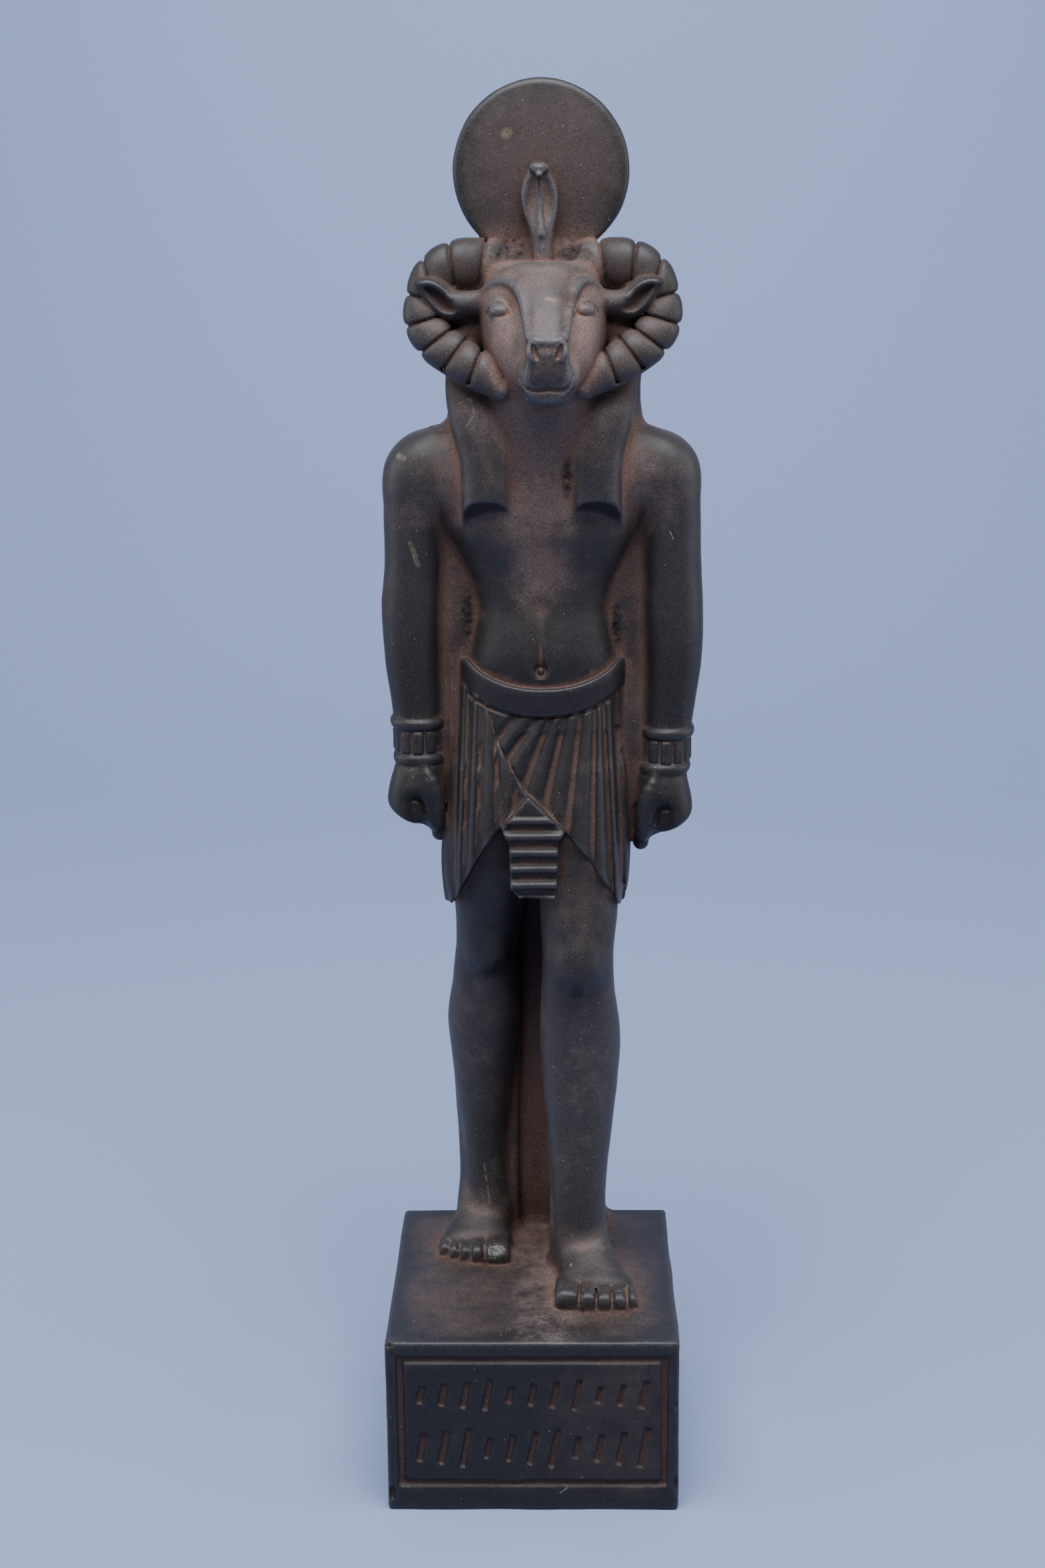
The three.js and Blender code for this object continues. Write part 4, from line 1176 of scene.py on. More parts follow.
def ear(side):
    edge = smooth_line([*EAR_EDGE, EAR_EDGE[0]], 36)[:-1].tolist()
    cup = smooth_line([*EAR_CUP, EAR_CUP[0]], 32)[:-1].tolist()

    def leaf(x, y, z):
        out = outline(edge, x, z)
        front = EAR["front"] + 2.4 * np.clip(1 + out / 5, 0, 1) ** 2
        return both(out, np.maximum(front - y, y - EAR["back"]), 2.2)

    def hollow(x, y, z):
        out = outline(cup, x, z)
        deep = EAR["front"] + EAR["cup"] * np.clip(-out / 2.2, 0, 1) ** 0.6
        return both(out, y - deep, 1.4)

    low, high = (18, EAR["front"] - 1, 377), (39, EAR["back"], 393)
    for form, add in ((leaf, True), (hollow, False)):
        placed = (low, high, lambda x, y, z, form=form: form(x - EAR_MIDDLE * side, y, z))
        if add:
            clay.add(at_side(placed, side), 1.5)
        else:
            clay.cut(at_side(placed, side), 0.9)
    root = [(14, 1.2, 384.4, 2.6), (20, -0.4, 384.2, 3.0), (25, -1.2, 384.6, 2.2)]
    clay.add(at_side(strand(root, 8), side), 2.5)
    lip = [(EAR_MIDDLE + side * x, z, EAR["rim"]) for x, z in EAR_CUP[:4]]
    clay.add(trail(lip, 14, 0.3), 0.8)


ear(-1)
ear(1)

# The horns are thick bands that curl from the brow over the ears and forward to the cheeks.
# They are ringed all along: each ring swells a little, and a narrow groove parts it from the next.
HORN = [
    (8, 13.4, 391.5, 5.4),
    (13.4, 12.6, 394, 7.4),
    (19.6, 11.5, 394.4, 8.3),
    (27.2, 9, 394.4, 7.9),
    (33.2, 7.5, 391.2, 6.9),
    (36.0, 5.8, 385, 6.1),
    (36.2, 3.8, 378, 6.3),
    (32.4, 1.4, 372, 6.4),
    (26, -1.6, 367.4, 6.2),
    (19, -5, 363, 5.4),
    (13.2, -8, 357.4, 2.4),
]
# The grooves in the front view, from the horn's outer edge to its inner: x, z, x, z.
HORN_GROOVES = [
    (17.8, 400.2, 20.2, 386.2),
    (28.8, 401.7, 27.8, 393.5),
    (37.1, 397.8, 35.6, 393.1),
    (42.8, 386.8, 38.8, 385.9),
    (41.9, 377, 34.6, 379.1),
    (35.5, 370.7, 29.8, 374.7),
    (28.1, 367.4, 25.3, 370.9),
    (21.1, 364, 19.6, 367.6),
]
HORN_ROUND = 2.35
HORN_ROOT = [(4, 13, 391, 6), (9, 13, 392.4, 6.6), (15, 12.4, 393.6, 7.2)]
RING = {"groove": 0.95, "half": 0.42, "chamfer": 0.75, "wide": 3.6, "swell": 0.45, "past": 4.5}


def horn(side):
    line = smooth_line(HORN, 73)
    reach = line[:, 3].max() + 1
    low, high = line[:, :3].min(0) - reach, line[:, :3].max(0) + reach

    def distance(x, y, z):
        x = side * (x - HEAD_X)
        best = np.full(np.broadcast(x, y, z).shape, 1e6, np.float32)
        place = np.zeros(best.shape, np.float32)
        for i, (a, b) in enumerate(zip(line, line[1:])):
            share, gap = beside(a, b, x, y, z)
            closer = gap < best
            best = np.where(closer, gap, best)
            place = np.where(closer, i + share, place)
        counts = np.arange(len(line))
        middle_y = np.interp(place, counts, line[:, 1])
        radius = np.interp(place, counts, line[:, 3])
        near = np.float32(9)
        for out_x, out_z, in_x, in_z in HORN_GROOVES:
            run = np.hypot(out_x - in_x, out_z - in_z)
            ex, ez = (out_x - in_x) / run, (out_z - in_z) / run
            share = (x - in_x) * ex + (z - in_z) * ez
            gap = np.abs((x - in_x) * ez - (z - in_z) * ex)
            on_line = (share > -RING["past"]) & (share < run + RING["past"])
            near = np.minimum(near, np.where(on_line, gap, 9))
        groove = RING["groove"] * np.exp(-((near / RING["half"]) ** 2))
        chamfer = RING["chamfer"] * np.clip(1 - near / RING["wide"], 0, 1) ** 2
        size = radius + RING["swell"] - groove - chamfer
        depthwise = (y - middle_y) / (size * 0.96)
        across = np.sqrt(np.maximum(best - (y - middle_y) ** 2, 0)) / size
        whole = (np.abs(depthwise) ** HORN_ROUND + across**HORN_ROUND) ** (1 / HORN_ROUND)
        return (whole - 1) * size

    if side < 0:
        low, high = (-high[0], low[1], low[2]), (-low[0], high[1], high[2])
    return low, high, distance


for side in (-1, 1):
    clay.add(at_side(strand(HORN_ROOT, 8), side), 5)
    clay.add(horn(side), 0.6)
    clay.add(egg((HEAD_X + side * 22.5, 5.5, 375), (6, 4.4, 9)), 2)
    clay.add(egg((HEAD_X + side * 27, 7, 388.6), (9, 3.2, 4.2)), 1.5)

# The sun disc is a thick round slab that stands on the horns, slightly swelling, its rim
# rounded. It is cast in one with them, and its face was left evenly brown by the wash.
DISC = {"x": 0.3, "y": 16.0, "z": 423.3, "radius": 27.2, "thick": 11.5, "rim": 1.8, "dome": 1.6}


def disc():
    radius, rim = DISC["radius"], DISC["rim"]
    x0, y0, z0 = DISC["x"], DISC["y"], DISC["z"]
    half = DISC["thick"] / 2

    def distance(x, y, z):
        out = np.hypot(x - x0, z - z0)
        beyond = out - (radius - rim)
        deep = np.abs(y - y0) - (half - rim - DISC["dome"] * (out / radius) ** 2)
        apart = np.hypot(np.maximum(beyond, 0), np.maximum(deep, 0))
        return apart + np.minimum(np.maximum(beyond, deep), 0) - rim

    return (x0 - radius, y0 - half, z0 - radius), (x0 + radius, y0 + half, z0 + radius), distance


clay.add(disc(), 1.2)

# The cobra rears in front of the disc: a narrow neck, a spread hood with a ridge down it, and a
# small head that leans out. It is cast on the disc and stands on the brow.
COBRA = [
    [392, 0.9, 7.5, 3.3, 5.8, 6],
    [400, 0.8, 7.2, 3.3, 5.2, 6],
    [405.8, 0.5, 6.9, 3.7, 3.8, 6],
    [410.5, 0.2, 7.0, 4.9, 2.7, 6],
    [415.6, -0.1, 7.2, 5.6, 2.4, 6],
    [419.2, -0.2, 7.2, 4.9, 2.4, 6],
    [422.4, -0.2, 7.2, 3.4, 2.4, 5],
    [425, -0.2, 7.6, 2.2, 1.6, 5],
]
clay.add(loft(COBRA, 2.1, None, 1.5), 0.7)
for side in (-1, 1):
    bowl = [
        (0.1 + side * 2.0, 407, 1.0), (-0.1 + side * 2.8, 413, 2.2), (-0.1 + side * 2.4, 419, 1.8),
    ]
    clay.cut(trail(bowl, 8, -1.3), 1.2)
clay.add(trail([(0.5, 404, 0.9), (0.1, 411, 0.6), (-0.1, 419.6, 0.6)], 8, 0.1), 0.8)
clay.add(egg((-0.1, 4.0, 423.7), (3.0, 3.6, 1.7)), 1.2)
clay.add(strand([(-0.1, 2.6, 423, 1.6), (-0.1, 0.6, 421.6, 0.9)], 2), 0.7)
for side in (-1, 1):
    clay.cut(egg((-0.1 + side * 1.9, 1.2, 423.4), (0.5, 0.7, 0.5)), 0.3)

# The surface is cast stone as it came from a worn mould: slightly uneven, gritty where dirt has
# stuck in the deep corners, and chipped along the plinth's top edge. It is one closed skin.
UNEVEN = ((18.0, 0.3), (5.0, 0.1))
# Where dirt sticks, in the front view: x, z, half width, half height, and the least y there.
GRIT_PLACES = [
    (-9.4, 399.4, 9, 4.8, 3), (10, 398.8, 7.4, 4.8, 3), (-22.2, 373.8, 5.4, 6.4, 1),
    (23.6, 373.8, 5.4, 6.4, 1), (-25.4, 389.4, 7.4, 3.6, 3), (24.6, 388.6, 6, 3.4, 3),
    (7.9, 331, 2.2, 8.4, -4), (-24.4, 285, 2.4, 11, 9), (24.2, 282, 2.4, 8.4, 9),
    (-33, 322, 2.6, 4, 9), (35.4, 324, 2.6, 4, 9),
]
GRIT = {"high": 0.55, "size": 1.3, "most_y": 19.0}
CHIPS = [
    ((5, -50.2, 60.4), (2.2, 1.2, 1.0)), ((16.2, -50.2, 60.3), (1.7, 1.1, 0.9)),
    ((22.4, -50.2, 60.5), (2.6, 0.9, 0.8)), ((27.9, -50.2, 60.3), (1.5, 1.1, 1.0)),
    ((-50.6, -50.2, 59.4), (1.6, 1.3, 1.6)), ((42.2, -50, 38), (0.8, 1.0, 2)),
    ((-50.4, -49.8, 6), (1.0, 1.2, 2.4)), ((41.8, -50, 10), (0.9, 1.2, 2.6)),
]
MOST_TRIANGLES = 194_000


def cloud(places, size, seed):
    """Smooth random numbers from -1 to 1 over space, in lumps of about that size."""
    side = 48
    lattice = np.random.default_rng(seed).uniform(-1, 1, (side, side, side)).astype(np.float32)
    base, share = [], []
    for place in places:
        place = place / size
        floor = np.floor(place)
        t = place - floor
        base.append(floor.astype(int))
        share.append(t * t * (3 - 2 * t))
    return between_corners(lattice, base, share)


def gritty(places):
    """How gritty a place is, from 0 to 1."""
    x, y, z = places
    most = 0
    for middle_x, middle_z, half, tall, least_y in GRIT_PLACES:
        out = np.hypot((x - middle_x) / half, (z - middle_z) / tall)
        inside = np.clip(1.8 * (1 - out), 0, 1) * np.clip((y - least_y) / 2, 0, 1)
        most = np.maximum(most, inside)
    return most * np.clip((GRIT["most_y"] - y) / 2, 0, 1)


for centre, radii in CHIPS:
    clay.cut(egg(centre, radii), 0.2)
close = np.nonzero(np.abs(clay.depth) < 1.6)
spots = [axis[index] for axis, index in zip(clay.axes, close)]
change = sum(high * cloud(spots, size, seed) for seed, (size, high) in enumerate(UNEVEN))
rough = cloud(spots, GRIT["size"], 7) + 0.6 * cloud(spots, GRIT["size"] / 2, 8)
change = change + GRIT["high"] * rough * gritty(spots)
clay.depth[close] -= change
lift = clay.axes[2][None, None, :]
np.maximum(clay.depth, -lift, out=clay.depth)


def share_of_stone(reach, stride):
    """A grid of the share of stone within a reach of each point."""
    axes = [axis[::stride] for axis in clay.axes]
    stone = np.clip(0.5 - clay.depth[::stride, ::stride, ::stride] / (1.2 * stride), 0, 1)
    for i, axis in enumerate(axes):
        edges = np.concatenate([[axis[0]], (axis[1:] + axis[:-1]) / 2, [axis[-1]]])
        shape = [-1 if j == i else 1 for j in range(3)]
        widths = np.diff(edges).astype(np.float32).reshape(shape)
        run = np.concatenate(
            [np.zeros_like(np.take(stone, [0], i)), np.cumsum(stone * widths, i)], i
        )
        ends = []
        for offset in (-reach, reach):
            index = np.interp(axis + offset, edges, np.arange(len(edges)))
            base = np.minimum(index.astype(int), len(edges) - 2)
            part = (index - base).astype(np.float32).reshape(shape)
            ends.append(np.take(run, base, i) * (1 - part) + np.take(run, base + 1, i) * part)
        stone = (ends[1] - ends[0]) / (2 * reach)
    coarse = Clay(*axes)
    coarse.depth = stone
    return coarse


def on_largest(count, triangles):
    """Which triangles are on the largest closed lump: specks of grit hang free beside it."""
    lump, before = np.arange(count), None
    ends = np.concatenate([triangles[:, [0, 1]], triangles[:, [0, 2]]])
    while before is None or (lump != before).any():
        before = lump.copy()
        own = before[ends]
        np.minimum.at(lump, own.ravel(), np.repeat(own.min(1), 2))
        lump = lump[lump]
    return lump[triangles[:, 0]] == np.bincount(lump).argmax()


def surface():
    """The skin of the largest lump as points and triangles, with its faces pointing out."""
    band_width = 1.4 * COARSE
    grid = openvdb.FloatGrid(background=band_width)
    grid.copyFromArray(np.clip(clay.depth, -band_width, band_width), tolerance=0.0)
    places, _, quads = grid.convertToPolygons(isovalue=0.0, adaptivity=0.0)
    points = np.stack(
        [np.interp(places[:, i], np.arange(len(a)), a) for i, a in enumerate(clay.axes)], 1
    )
    triangles = np.concatenate([quads[:, [0, 1, 2]], quads[:, [0, 2, 3]]])
    triangles = triangles[on_largest(len(points), triangles)]
    used, triangles = np.unique(triangles, return_inverse=True)
    return points[used], triangles.reshape(-1, 3).astype(np.int32)


def statue_mesh():
    points, triangles = surface()
    mesh = bpy.data.meshes.new("statue")
    mesh.vertices.add(len(points))
    mesh.vertices.foreach_set("co", (points * MM).astype(np.float32).ravel())
    mesh.loops.add(triangles.size)
    mesh.loops.foreach_set("vertex_index", triangles.ravel())
    mesh.polygons.add(len(triangles))
    mesh.polygons.foreach_set("loop_start", np.arange(0, triangles.size, 3, dtype=np.int32))
    mesh.update(calc_edges=True)
    return mesh


statue = bpy.data.objects.new("statue", statue_mesh())
bpy.context.scene.collection.objects.link(statue)
if len(statue.data.polygons) > MOST_TRIANGLES:
    thinner = statue.modifiers.new("thinner", "DECIMATE")
    thinner.ratio = MOST_TRIANGLES / len(statue.data.polygons)
    seen = statue.evaluated_get(bpy.context.evaluated_depsgraph_get())
    thinned = bpy.data.meshes.new_from_object(seen)
    statue.modifiers.clear()
    statue.data = thinned
mesh = statue.data
mesh.shade_smooth()
points = np.empty(len(mesh.vertices) * 3, np.float32)
mesh.vertices.foreach_get("co", points)
points = points.reshape(-1, 3) / MM
slopes = []
for i in range(3):
    offset = np.zeros(3)
    offset[i] = 0.4
    slopes.append(clay.read(clay.depth, points + offset) - clay.read(clay.depth, points - offset))
normals = np.stack(slopes, 1)
normals /= np.maximum(np.linalg.norm(normals, axis=1, keepdims=True), 1e-6)
mesh.normals_split_custom_set_from_vertices(normals)


def mark(name, values):
    """Keeps a number for each point of the skin, for the stain and the painted shade to follow."""
    attribute = mesh.attributes.new(name, "FLOAT", "POINT")
    attribute.data.foreach_set("value", np.asarray(values, np.float32))


for name, reach, stride in (("crevice", 1.3, 1), ("hollow", 4.0, 2), ("shelter", 11.0, 2)):
    shares = share_of_stone(reach, stride)
    mark(name, 2 * shares.read(shares.depth, points) - 1)
mark("grit", gritty(points.T))

# The finish: the pale casting was stained blue-black all over, then a red-brown wash was laid
# on and wiped off. It stays in every hollow, and thinly on the head, the disc and the plinth's
# top. The stone shows as fine sandy grain, pale specks and pits, and bare tan spots where knocked.
# Shade is painted into the colour: darker in the hollows and creases, under the lappets' ends and
# on the hands; and a pale sheen is painted along convex edges.
BLUE_BLACK = (0.0222, 0.0186, 0.0184, 1)
# A worn bluish tone, also laid on convex edges as a painted sheen.
WORN_BLUE_AND_SHEEN = (0.052, 0.047, 0.051, 1)
GREY_BROWN = (0.086, 0.058, 0.049, 1)
RUST = (0.090, 0.050, 0.038, 1)
# Painted shade for hollows and creases.
PAINTED_SHADE_BROWN = (0.024, 0.0155, 0.0125, 1)
DUST = (0.150, 0.118, 0.110, 1)
TAN = (0.19, 0.14, 0.095, 1)
SPECK = (0.36, 0.34, 0.32, 1)
# Real dirt where grit sticks, also used as painted shade under the lappets' ends.
DIRT_AND_SHADE = (0.013, 0.010, 0.009, 1)
PALE_SCRATCH = (0.13, 0.126, 0.126, 1)
# Bare spots and scratches in the front view: their two ends and half width.
BARE_SPOTS = [
    ((-10.2, 434.0), (-9.8, 434.4), 1.5),
    ((2.4, 385.4), (4.2, 385.0), 0.9),
    ((-45.2, 336.9), (-43.4, 336.2), 0.9),
    ((-1.6, 330.2), (-1.4, 329.9), 1.0),
    ((-41.7, 309.6), (-39.5, 302.2), 0.8),
]
SCRATCHES = [
    ((-25.3, 353.6), (-21.6, 355.2), 0.22),
    ((-21.6, 355.2), (-20.5, 350.4), 0.25),
    ((-20.5, 350.4), (-23.0, 346.7), 0.2),
    ((-32.3, 344.2), (-31.5, 344.8), 0.4),
    ((40.0, 314.2), (41.5, 310.4), 0.25),
    ((-21.9, 88.9), (-20.0, 74.3), 0.35),
    ((8.8, 76.0), (8.2, 69.0), 0.35),
    ((-42.5, 233.6), (-40.1, 234.7), 0.18),
    ((-40.1, 234.7), (-37.8, 232.7), 0.18),
    ((4.4, 6.4), (11.6, 12.0), 0.28),
    ((-18.2, 64.2), (-17.2, 64.8), 2.3),
]


def on_skin(x, z):
    return x, clay.meet(x, z, "front"), z


def stained(material):
    tree = material.node_tree
    tree.nodes.clear()
    start = Wire(tree)
    place = start.node("ShaderNodeTexCoord", None, None, 3)

    def part(vector, output):
        return start.node("ShaderNodeSeparateXYZ", None, {0: vector}, output)

    # Reads a number kept on each point of the skin: how much stone lies round it, which guides the
    # wash and the painted shade, or how gritty it is.
    def worn(name):
        return start.node("ShaderNodeAttribute", {"attribute_name": name}, None, 2)

    def noise(size, detail, roughness=0.55):
        values = {"Vector": place, "Scale": 1 / (size * MM), "Detail": detail,
                  "Roughness": roughness}
        return start.node("ShaderNodeTexNoise", None, values)

    def ramp(value, low, high):
        values = {0: value, 1: low, 2: high, 3: 0.0, 4: 1.0}
        settings = {"interpolation_type": "SMOOTHSTEP", "clamp": True}
        return start.node("ShaderNodeMapRange", settings, values)

    def among(value, low, first, last, high):
        """1 from the first value to the last, and 0 below the low one and above the high one."""
        return ramp(value, low, first) * (1 - ramp(value, last, high))

    def mixed(factor, first, second):
        settings = {"data_type": "RGBA", "clamp_factor": True}
        return start.node("ShaderNodeMix", settings, {0: factor, 6: first, 7: second}, 2)

    def vector(operation, first, second, output=0):
        return start.node("ShaderNodeVectorMath", {"operation": operation},
                          {0: first, 1: second}, output)

    def streak(end, other, half):
        """1 within so far of a line between two ends, fading out round it."""
        end, other = Vector(on_skin(*end)) * MM, Vector(on_skin(*other)) * MM
        along = other - end
        gap = vector("SUBTRACT", place, tuple(end))
        share = vector("DOT_PRODUCT", gap, tuple(along / along.length_squared), 1).clamped()
        scaled = start.node("ShaderNodeVectorMath", {"operation": "SCALE"},
                            {0: tuple(along), 3: share})
        apart = start.node("ShaderNodeVectorMath", {"operation": "LENGTH"},
                           {0: vector("SUBTRACT", gap, scaled)}, 1)
        return 1 - ramp(apart, half * MM * 0.5, half * MM * 1.4)

    def streaks(rows):
        total = 0.0
        for row in rows:
            total = streak(*row) + total
        return total.clamped()

    def dots(apart, small, large):
        """1 at points scattered so far apart, fading out between two shares of that."""
        cells = start.node("ShaderNodeTexVoronoi", None,
                           {"Vector": place, "Scale": 1 / (apart * MM), "Randomness": 1.0})
        return 1 - ramp(cells, small, large)

    across = part(place, 0) * (1 / MM)
    depth = part(place, 1) * (1 / MM)
    height = part(place, 2) * (1 / MM)
    upward = part(start.node("ShaderNodeNewGeometry", None, None, 1), 2)
    from_middle = start.maths("ABSOLUTE", across)
    aside = start.maths("ABSOLUTE", across - HEAD_X)
    near_middle = 1 - ramp(from_middle, 3, 17)
    crevice, hollow, shelter, grit = (worn(n) for n in ("crevice", "hollow", "shelter", "grit"))
    clouds = noise(22, 5, 0.6) - 0.5
    smudge = noise(6, 6, 0.65) - 0.5
    sand = noise(0.45, 3, 0.7)
    fine_sand = noise(0.22, 2, 0.6)
    mottle = noise(2.2, 3, 0.6)
    wavy = height + 60 * clouds

    on_face = 1 - ramp(height, 57, 60)
    on_top = among(height, 57, 59.4, 60.6, 66) * ramp(upward, 0.5, 0.9)
    on_shins = among(height, 66, 80, 140, 170)
    # Painted shade: the backs of the closed hands are darkened.
    shade_on_hands = ramp(from_middle, 33, 37) * among(height, 203, 208, 226, 232)
    on_cheeks = among(aside, 7, 11, 14, 17) * among(height, 356, 364, 374, 384)
    on_cheeks = on_cheeks * (1 - ramp(depth, 8, 14))
    on_horns = ramp(aside + 5 * (1 - ramp(height, 357, 366)), 16, 20)
    on_horns = on_horns * among(height, 350, 355, 402, 406) * (1 - ramp(depth, 19, 25))
    on_disc = ramp(height, 400, 411) * ramp(depth, 8.6, 10)
    # Painted shade on the faces turned down where the lappets are cut off.
    shade_under_lappets = ramp(-1 * upward, 0.4, 0.8) * among(height, 312, 318, 334, 340)

    zone = 0.62 * ramp(height, 335, 366) + 0.2 * ramp(height, 404, 412)
    zone = zone + 0.3 * on_horns + 0.3 * on_cheeks + 0.4 * on_face * ramp(across, -24, 34)
    zone = zone + 0.34 * ramp(wavy, 270, 340) * (1 - ramp(height, 335, 366))
    zone = zone + 0.3 * among(height, 62, 70, 190, 230) + 0.35 * on_top
    zone = zone + 0.4 * near_middle * among(height, 280, 300, 336, 350)
    zone = zone + 0.3 * near_middle * among(height, 334, 344, 352, 362)
    wash = zone + 0.9 * hollow + 0.7 * shelter + 1.1 * clouds + 0.7 * smudge
    brown = ramp(wash, -0.05, 0.85)
    sheltered = ramp(0.9 * shelter + 0.6 * hollow + 0.5 * smudge, 0.0, 0.55)
    rust = ramp(2.2 * crevice + 0.8 * hollow + 0.25 * smudge + 0.15 * zone, 0.08, 0.6)
    # Painted shade: darker deep in hollows, sheltered corners and crevices.
    deep = ramp(0.8 * crevice + 1.1 * hollow + 0.8 * shelter + 0.5 * smudge, 0.75, 1.6)
    # Painted shade along narrow creases.
    line = ramp(crevice + 0.2 * smudge, 0.3, 0.54)
    # Convex edges, lighter and bluer: partly worn stain, partly a painted sheen.
    rubbed_and_sheen = ramp(-1.5 * crevice - 0.35 * hollow + 0.5 * smudge, 0.05, 0.6)
    ridges = ramp(-1.2 * crevice - 0.9 * hollow + 0.4 * smudge, 0.12, 0.55)
    dusty = on_top * near_middle * ramp(clouds + smudge, -0.25, 0.3)

    # Partly wear, partly painted sheen on the convex edges.
    colour = mixed(rubbed_and_sheen * 0.75, BLUE_BLACK, WORN_BLUE_AND_SHEEN)
    colour = mixed(brown, colour, mixed(sheltered, GREY_BROWN, RUST))
    colour = mixed(rust, colour, RUST)
    # Painted shade over the wash in the hollows and along the creases, weaker on the plinth's
    # face.
    colour = mixed(deep * (0.85 - 0.6 * on_face), colour, PAINTED_SHADE_BROWN)
    colour = mixed(line * (0.75 - 0.75 * on_face), colour, PAINTED_SHADE_BROWN)
    colour = mixed(ridges * ramp(height, 346, 352) * 0.85, colour, WORN_BLUE_AND_SHEEN)
    # Painted shade: near-black under the lappets' ends.
    colour = mixed(shade_under_lappets * 0.9, colour, DIRT_AND_SHADE)
    colour = mixed(dusty * 0.7, colour, DUST)
    colour = mixed(grit * ramp(sand + smudge, 0.3, 0.55), colour, DIRT_AND_SHADE)

    body = 0.56 + 0.36 * ramp(height, 56, 62) + 0.26 * ramp(wavy, 270, 340)
    body = body - 0.3 * among(height, 185, 205, 262, 290) - 0.2 * ramp(height, 378, 392)
    body = body - 0.6 * on_horns - 0.54 * on_disc + 0.45 * on_cheeks + 0.5 * on_shins
    # The hands darkened as painted shade.
    body = body - 0.22 * shade_on_hands - 0.22 * on_top * (1 - near_middle)
    grains = (0.4 + 0.9 * ramp(sand, 0.34, 0.66) + 0.5 * mottle) * body
    grey = start.node("ShaderNodeCombineColor", None, {0: grains, 1: grains, 2: grains})
    colour = start.node("ShaderNodeMix", {"data_type": "RGBA", "blend_type": "MULTIPLY"},
                        {0: 1.0, 6: colour, 7: grey}, 2)
    bare = streaks(BARE_SPOTS) * ramp(smudge + fine_sand, 0.3, 0.6)
    colour = mixed(bare * 0.65, colour, TAN)
    scratched = streaks(SCRATCHES) * ramp(noise(1.6, 3), 0.42, 0.56)
    colour = mixed(scratched, colour, PALE_SCRATCH)
    specks = dots(2.6, 0.03, 0.085) * ramp(noise(5, 2), 0.5, 0.56)
    colour = mixed(specks * 0.7, colour, SPECK)
    pits = dots(4.6, 0.05, 0.11) * ramp(noise(9, 2), 0.55, 0.62)

    relief = sand * 0.5 + fine_sand * 0.3 + smudge * 0.5 - pits * 1.6 + grit * noise(0.9, 4) * 2
    bump = start.node("ShaderNodeBump", None,
                      {"Strength": 0.55, "Distance": 0.00022, "Height": relief})
    rough = 0.43 - 0.06 * ridges + 0.14 * brown + 0.16 * rust
    rough = rough + 0.1 * ramp(sand, 0.3, 0.7) + 0.2 * grit
    shader = start.node("ShaderNodeBsdfPrincipled", None,
                        {"Base Color": colour, "Roughness": rough.clamped(), "Normal": bump,
                         "Specular IOR Level": 0.32})
    out = tree.nodes.new("ShaderNodeOutputMaterial")
    tree.links.new(shader.socket, out.inputs["Surface"])


stained(cast_stone)
mesh.materials.clear()
mesh.materials.append(cast_stone)
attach(statue, "root")
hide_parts("khnum_statue")

# The floor is a wide sheet of pale blue-grey paper that sweeps up behind in one curve.
PAPER = (0.236, 0.292, 0.475, 1)


def sweep(width, front, back, radius, top):
    """The paper: flat on the ground, then round a quarter circle and straight up."""
    profile = [(front, 0.0), (back, 0.0)]
    for i in range(1, 17):
        turn = i / 16 * math.pi / 2
        profile.append((back + radius * math.sin(turn), radius * (1 - math.cos(turn))))
    profile.append((back + radius, top))
    points = [(x, y, z) for y, z in profile for x in (-width / 2, width / 2)]
    faces = [(2 * i, 2 * i + 1, 2 * i + 3, 2 * i + 2) for i in range(len(profile) - 1)]
    sheet = bpy.data.meshes.new("paper sweep")
    sheet.from_pydata(points, [], faces)
    sheet.shade_smooth()
    return sheet


floor = bpy.data.objects.new("paper sweep", sweep(6.0, -2.2, 0.9, 0.9, 3.2))
bpy.context.scene.collection.objects.link(floor)
paper = bpy.data.materials.new("paper")
paper.use_nodes = True
paper.node_tree.nodes["Principled BSDF"].inputs["Base Color"].default_value = PAPER
paper.node_tree.nodes["Principled BSDF"].inputs["Roughness"].default_value = 0.9
floor.data.materials.append(paper)

# The light is soft and cool: a panel above the figure and one at each side, and two more that
# light the paper under and behind it, in a dim white tent.
SKY = (0.95, 0.95, 1.0, 1)
SKY_POWER = 0.14
COOL = (0.92, 0.95, 1.0)
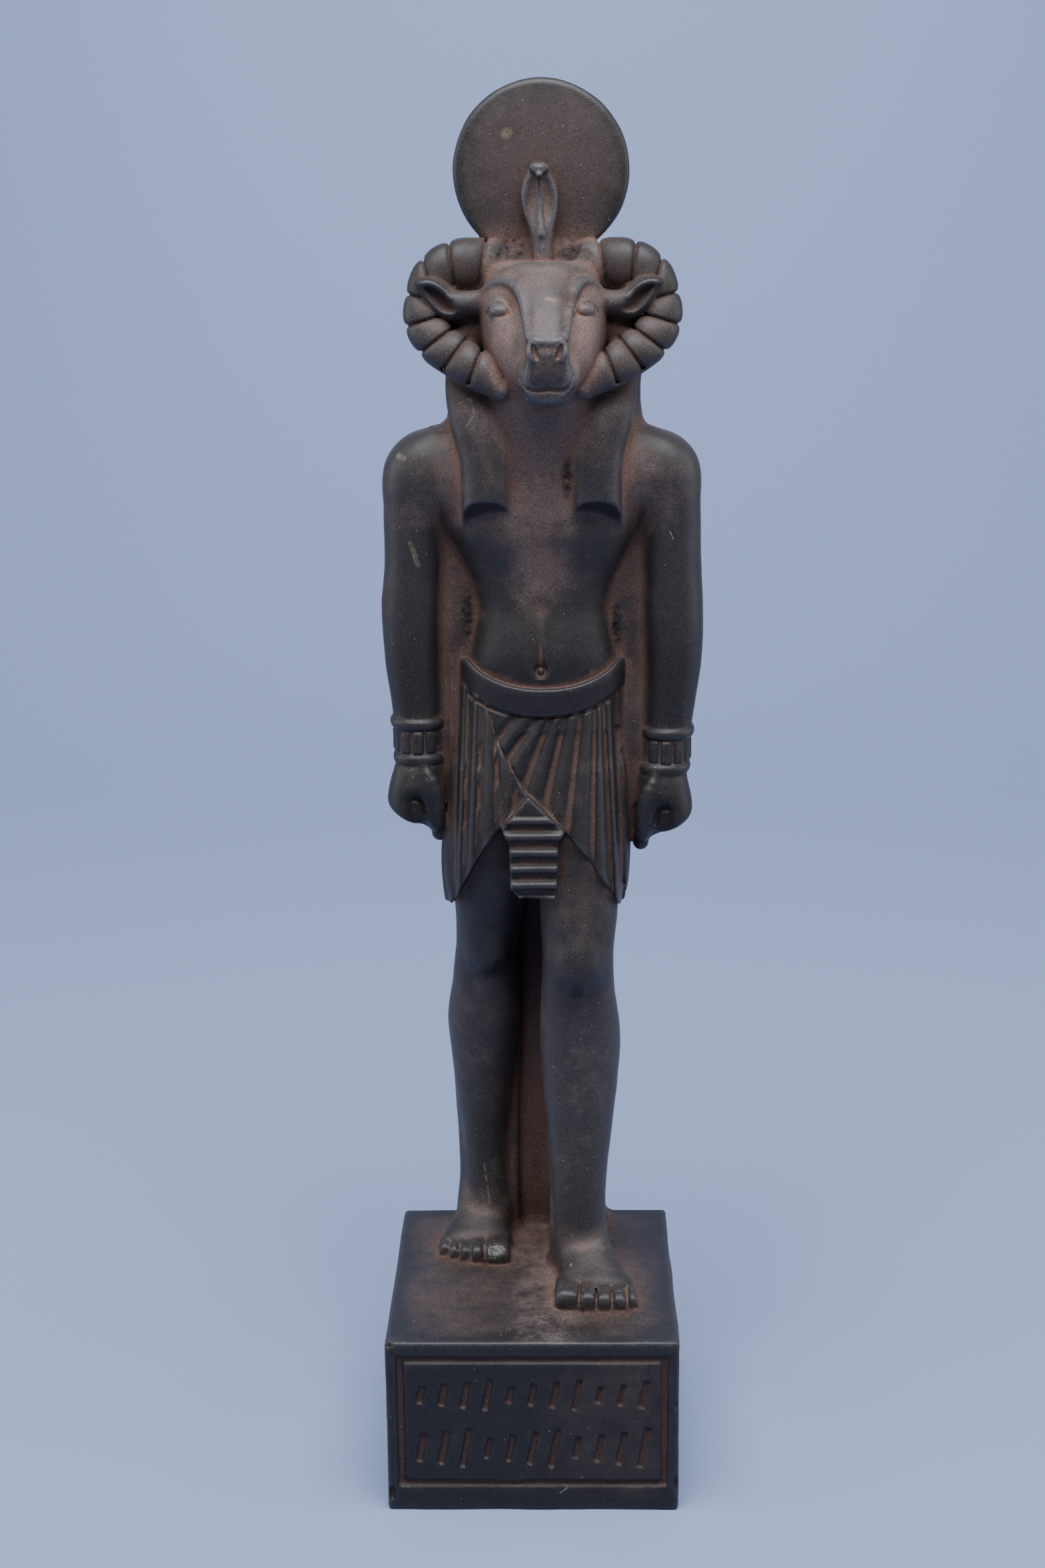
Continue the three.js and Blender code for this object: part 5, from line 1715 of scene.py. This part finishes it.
# Each panel: its name, where it hangs, what it is aimed at, its width and height, its power.
LAMPS = [
    ("top panel", (0, -0.34, 1.05), (0, 0, 0.3), (0.9, 0.6), 20),
    ("left panel", (-1.2, 0, 0.6), (0, 0, 0.25), (1, 1), 8),
    ("right panel", (1.2, 0, 0.6), (0, 0, 0.25), (1, 1), 8),
    ("floor panel", (0, -0.5, 2), (0, 0, 0), (2, 1), 9),
    ("paper panel", (0, 0.95, 1.65), (0, 1.8, 1.0), (2, 0.5), 32),
]
world = bpy.data.worlds.new("tent")
world.use_nodes = True
world.node_tree.nodes["Background"].inputs["Color"].default_value = SKY
world.node_tree.nodes["Background"].inputs["Strength"].default_value = SKY_POWER
bpy.context.scene.world = world
for name, place, target, size, power in LAMPS:
    light = bpy.data.lights.new(name, "AREA")
    light.shape = "RECTANGLE"
    light.size, light.size_y = size
    light.energy = power
    light.color = COOL
    holder = bpy.data.objects.new(name, light)
    holder.location = place
    aim = Vector(target) - Vector(place)
    holder.rotation_euler = aim.to_track_quat("-Z", "Y").to_euler()
    bpy.context.scene.collection.objects.link(holder)

# The camera stands level with the head, a little to the right, and looks down the figure.
CAMERA = {"at": (5.65, -683.2, 400.9), "pitch": 13.89, "yaw": 1.04, "roll": -0.52}
pitch, yaw, roll = (math.radians(CAMERA[name]) for name in ("pitch", "yaw", "roll"))
ahead = Vector(
    (-math.sin(yaw) * math.cos(pitch), math.cos(yaw) * math.cos(pitch), -math.sin(pitch))
)
level = Vector((math.cos(yaw), math.sin(yaw), 0))
upright = level.cross(ahead)
right_hand = math.cos(roll) * level + math.sin(roll) * upright
upward_hand = math.cos(roll) * upright - math.sin(roll) * level
lens = bpy.data.cameras.new("camera")
lens.sensor_fit = "VERTICAL"
lens.sensor_height = 36
lens.lens = 50
camera = bpy.data.objects.new("camera", lens)
facing = Matrix((right_hand, upward_hand, -ahead)).transposed().to_4x4()
camera.matrix_world = Matrix.Translation(Vector(CAMERA["at"]) * MM) @ facing
bpy.context.scene.collection.objects.link(camera)
bpy.context.scene.camera = camera
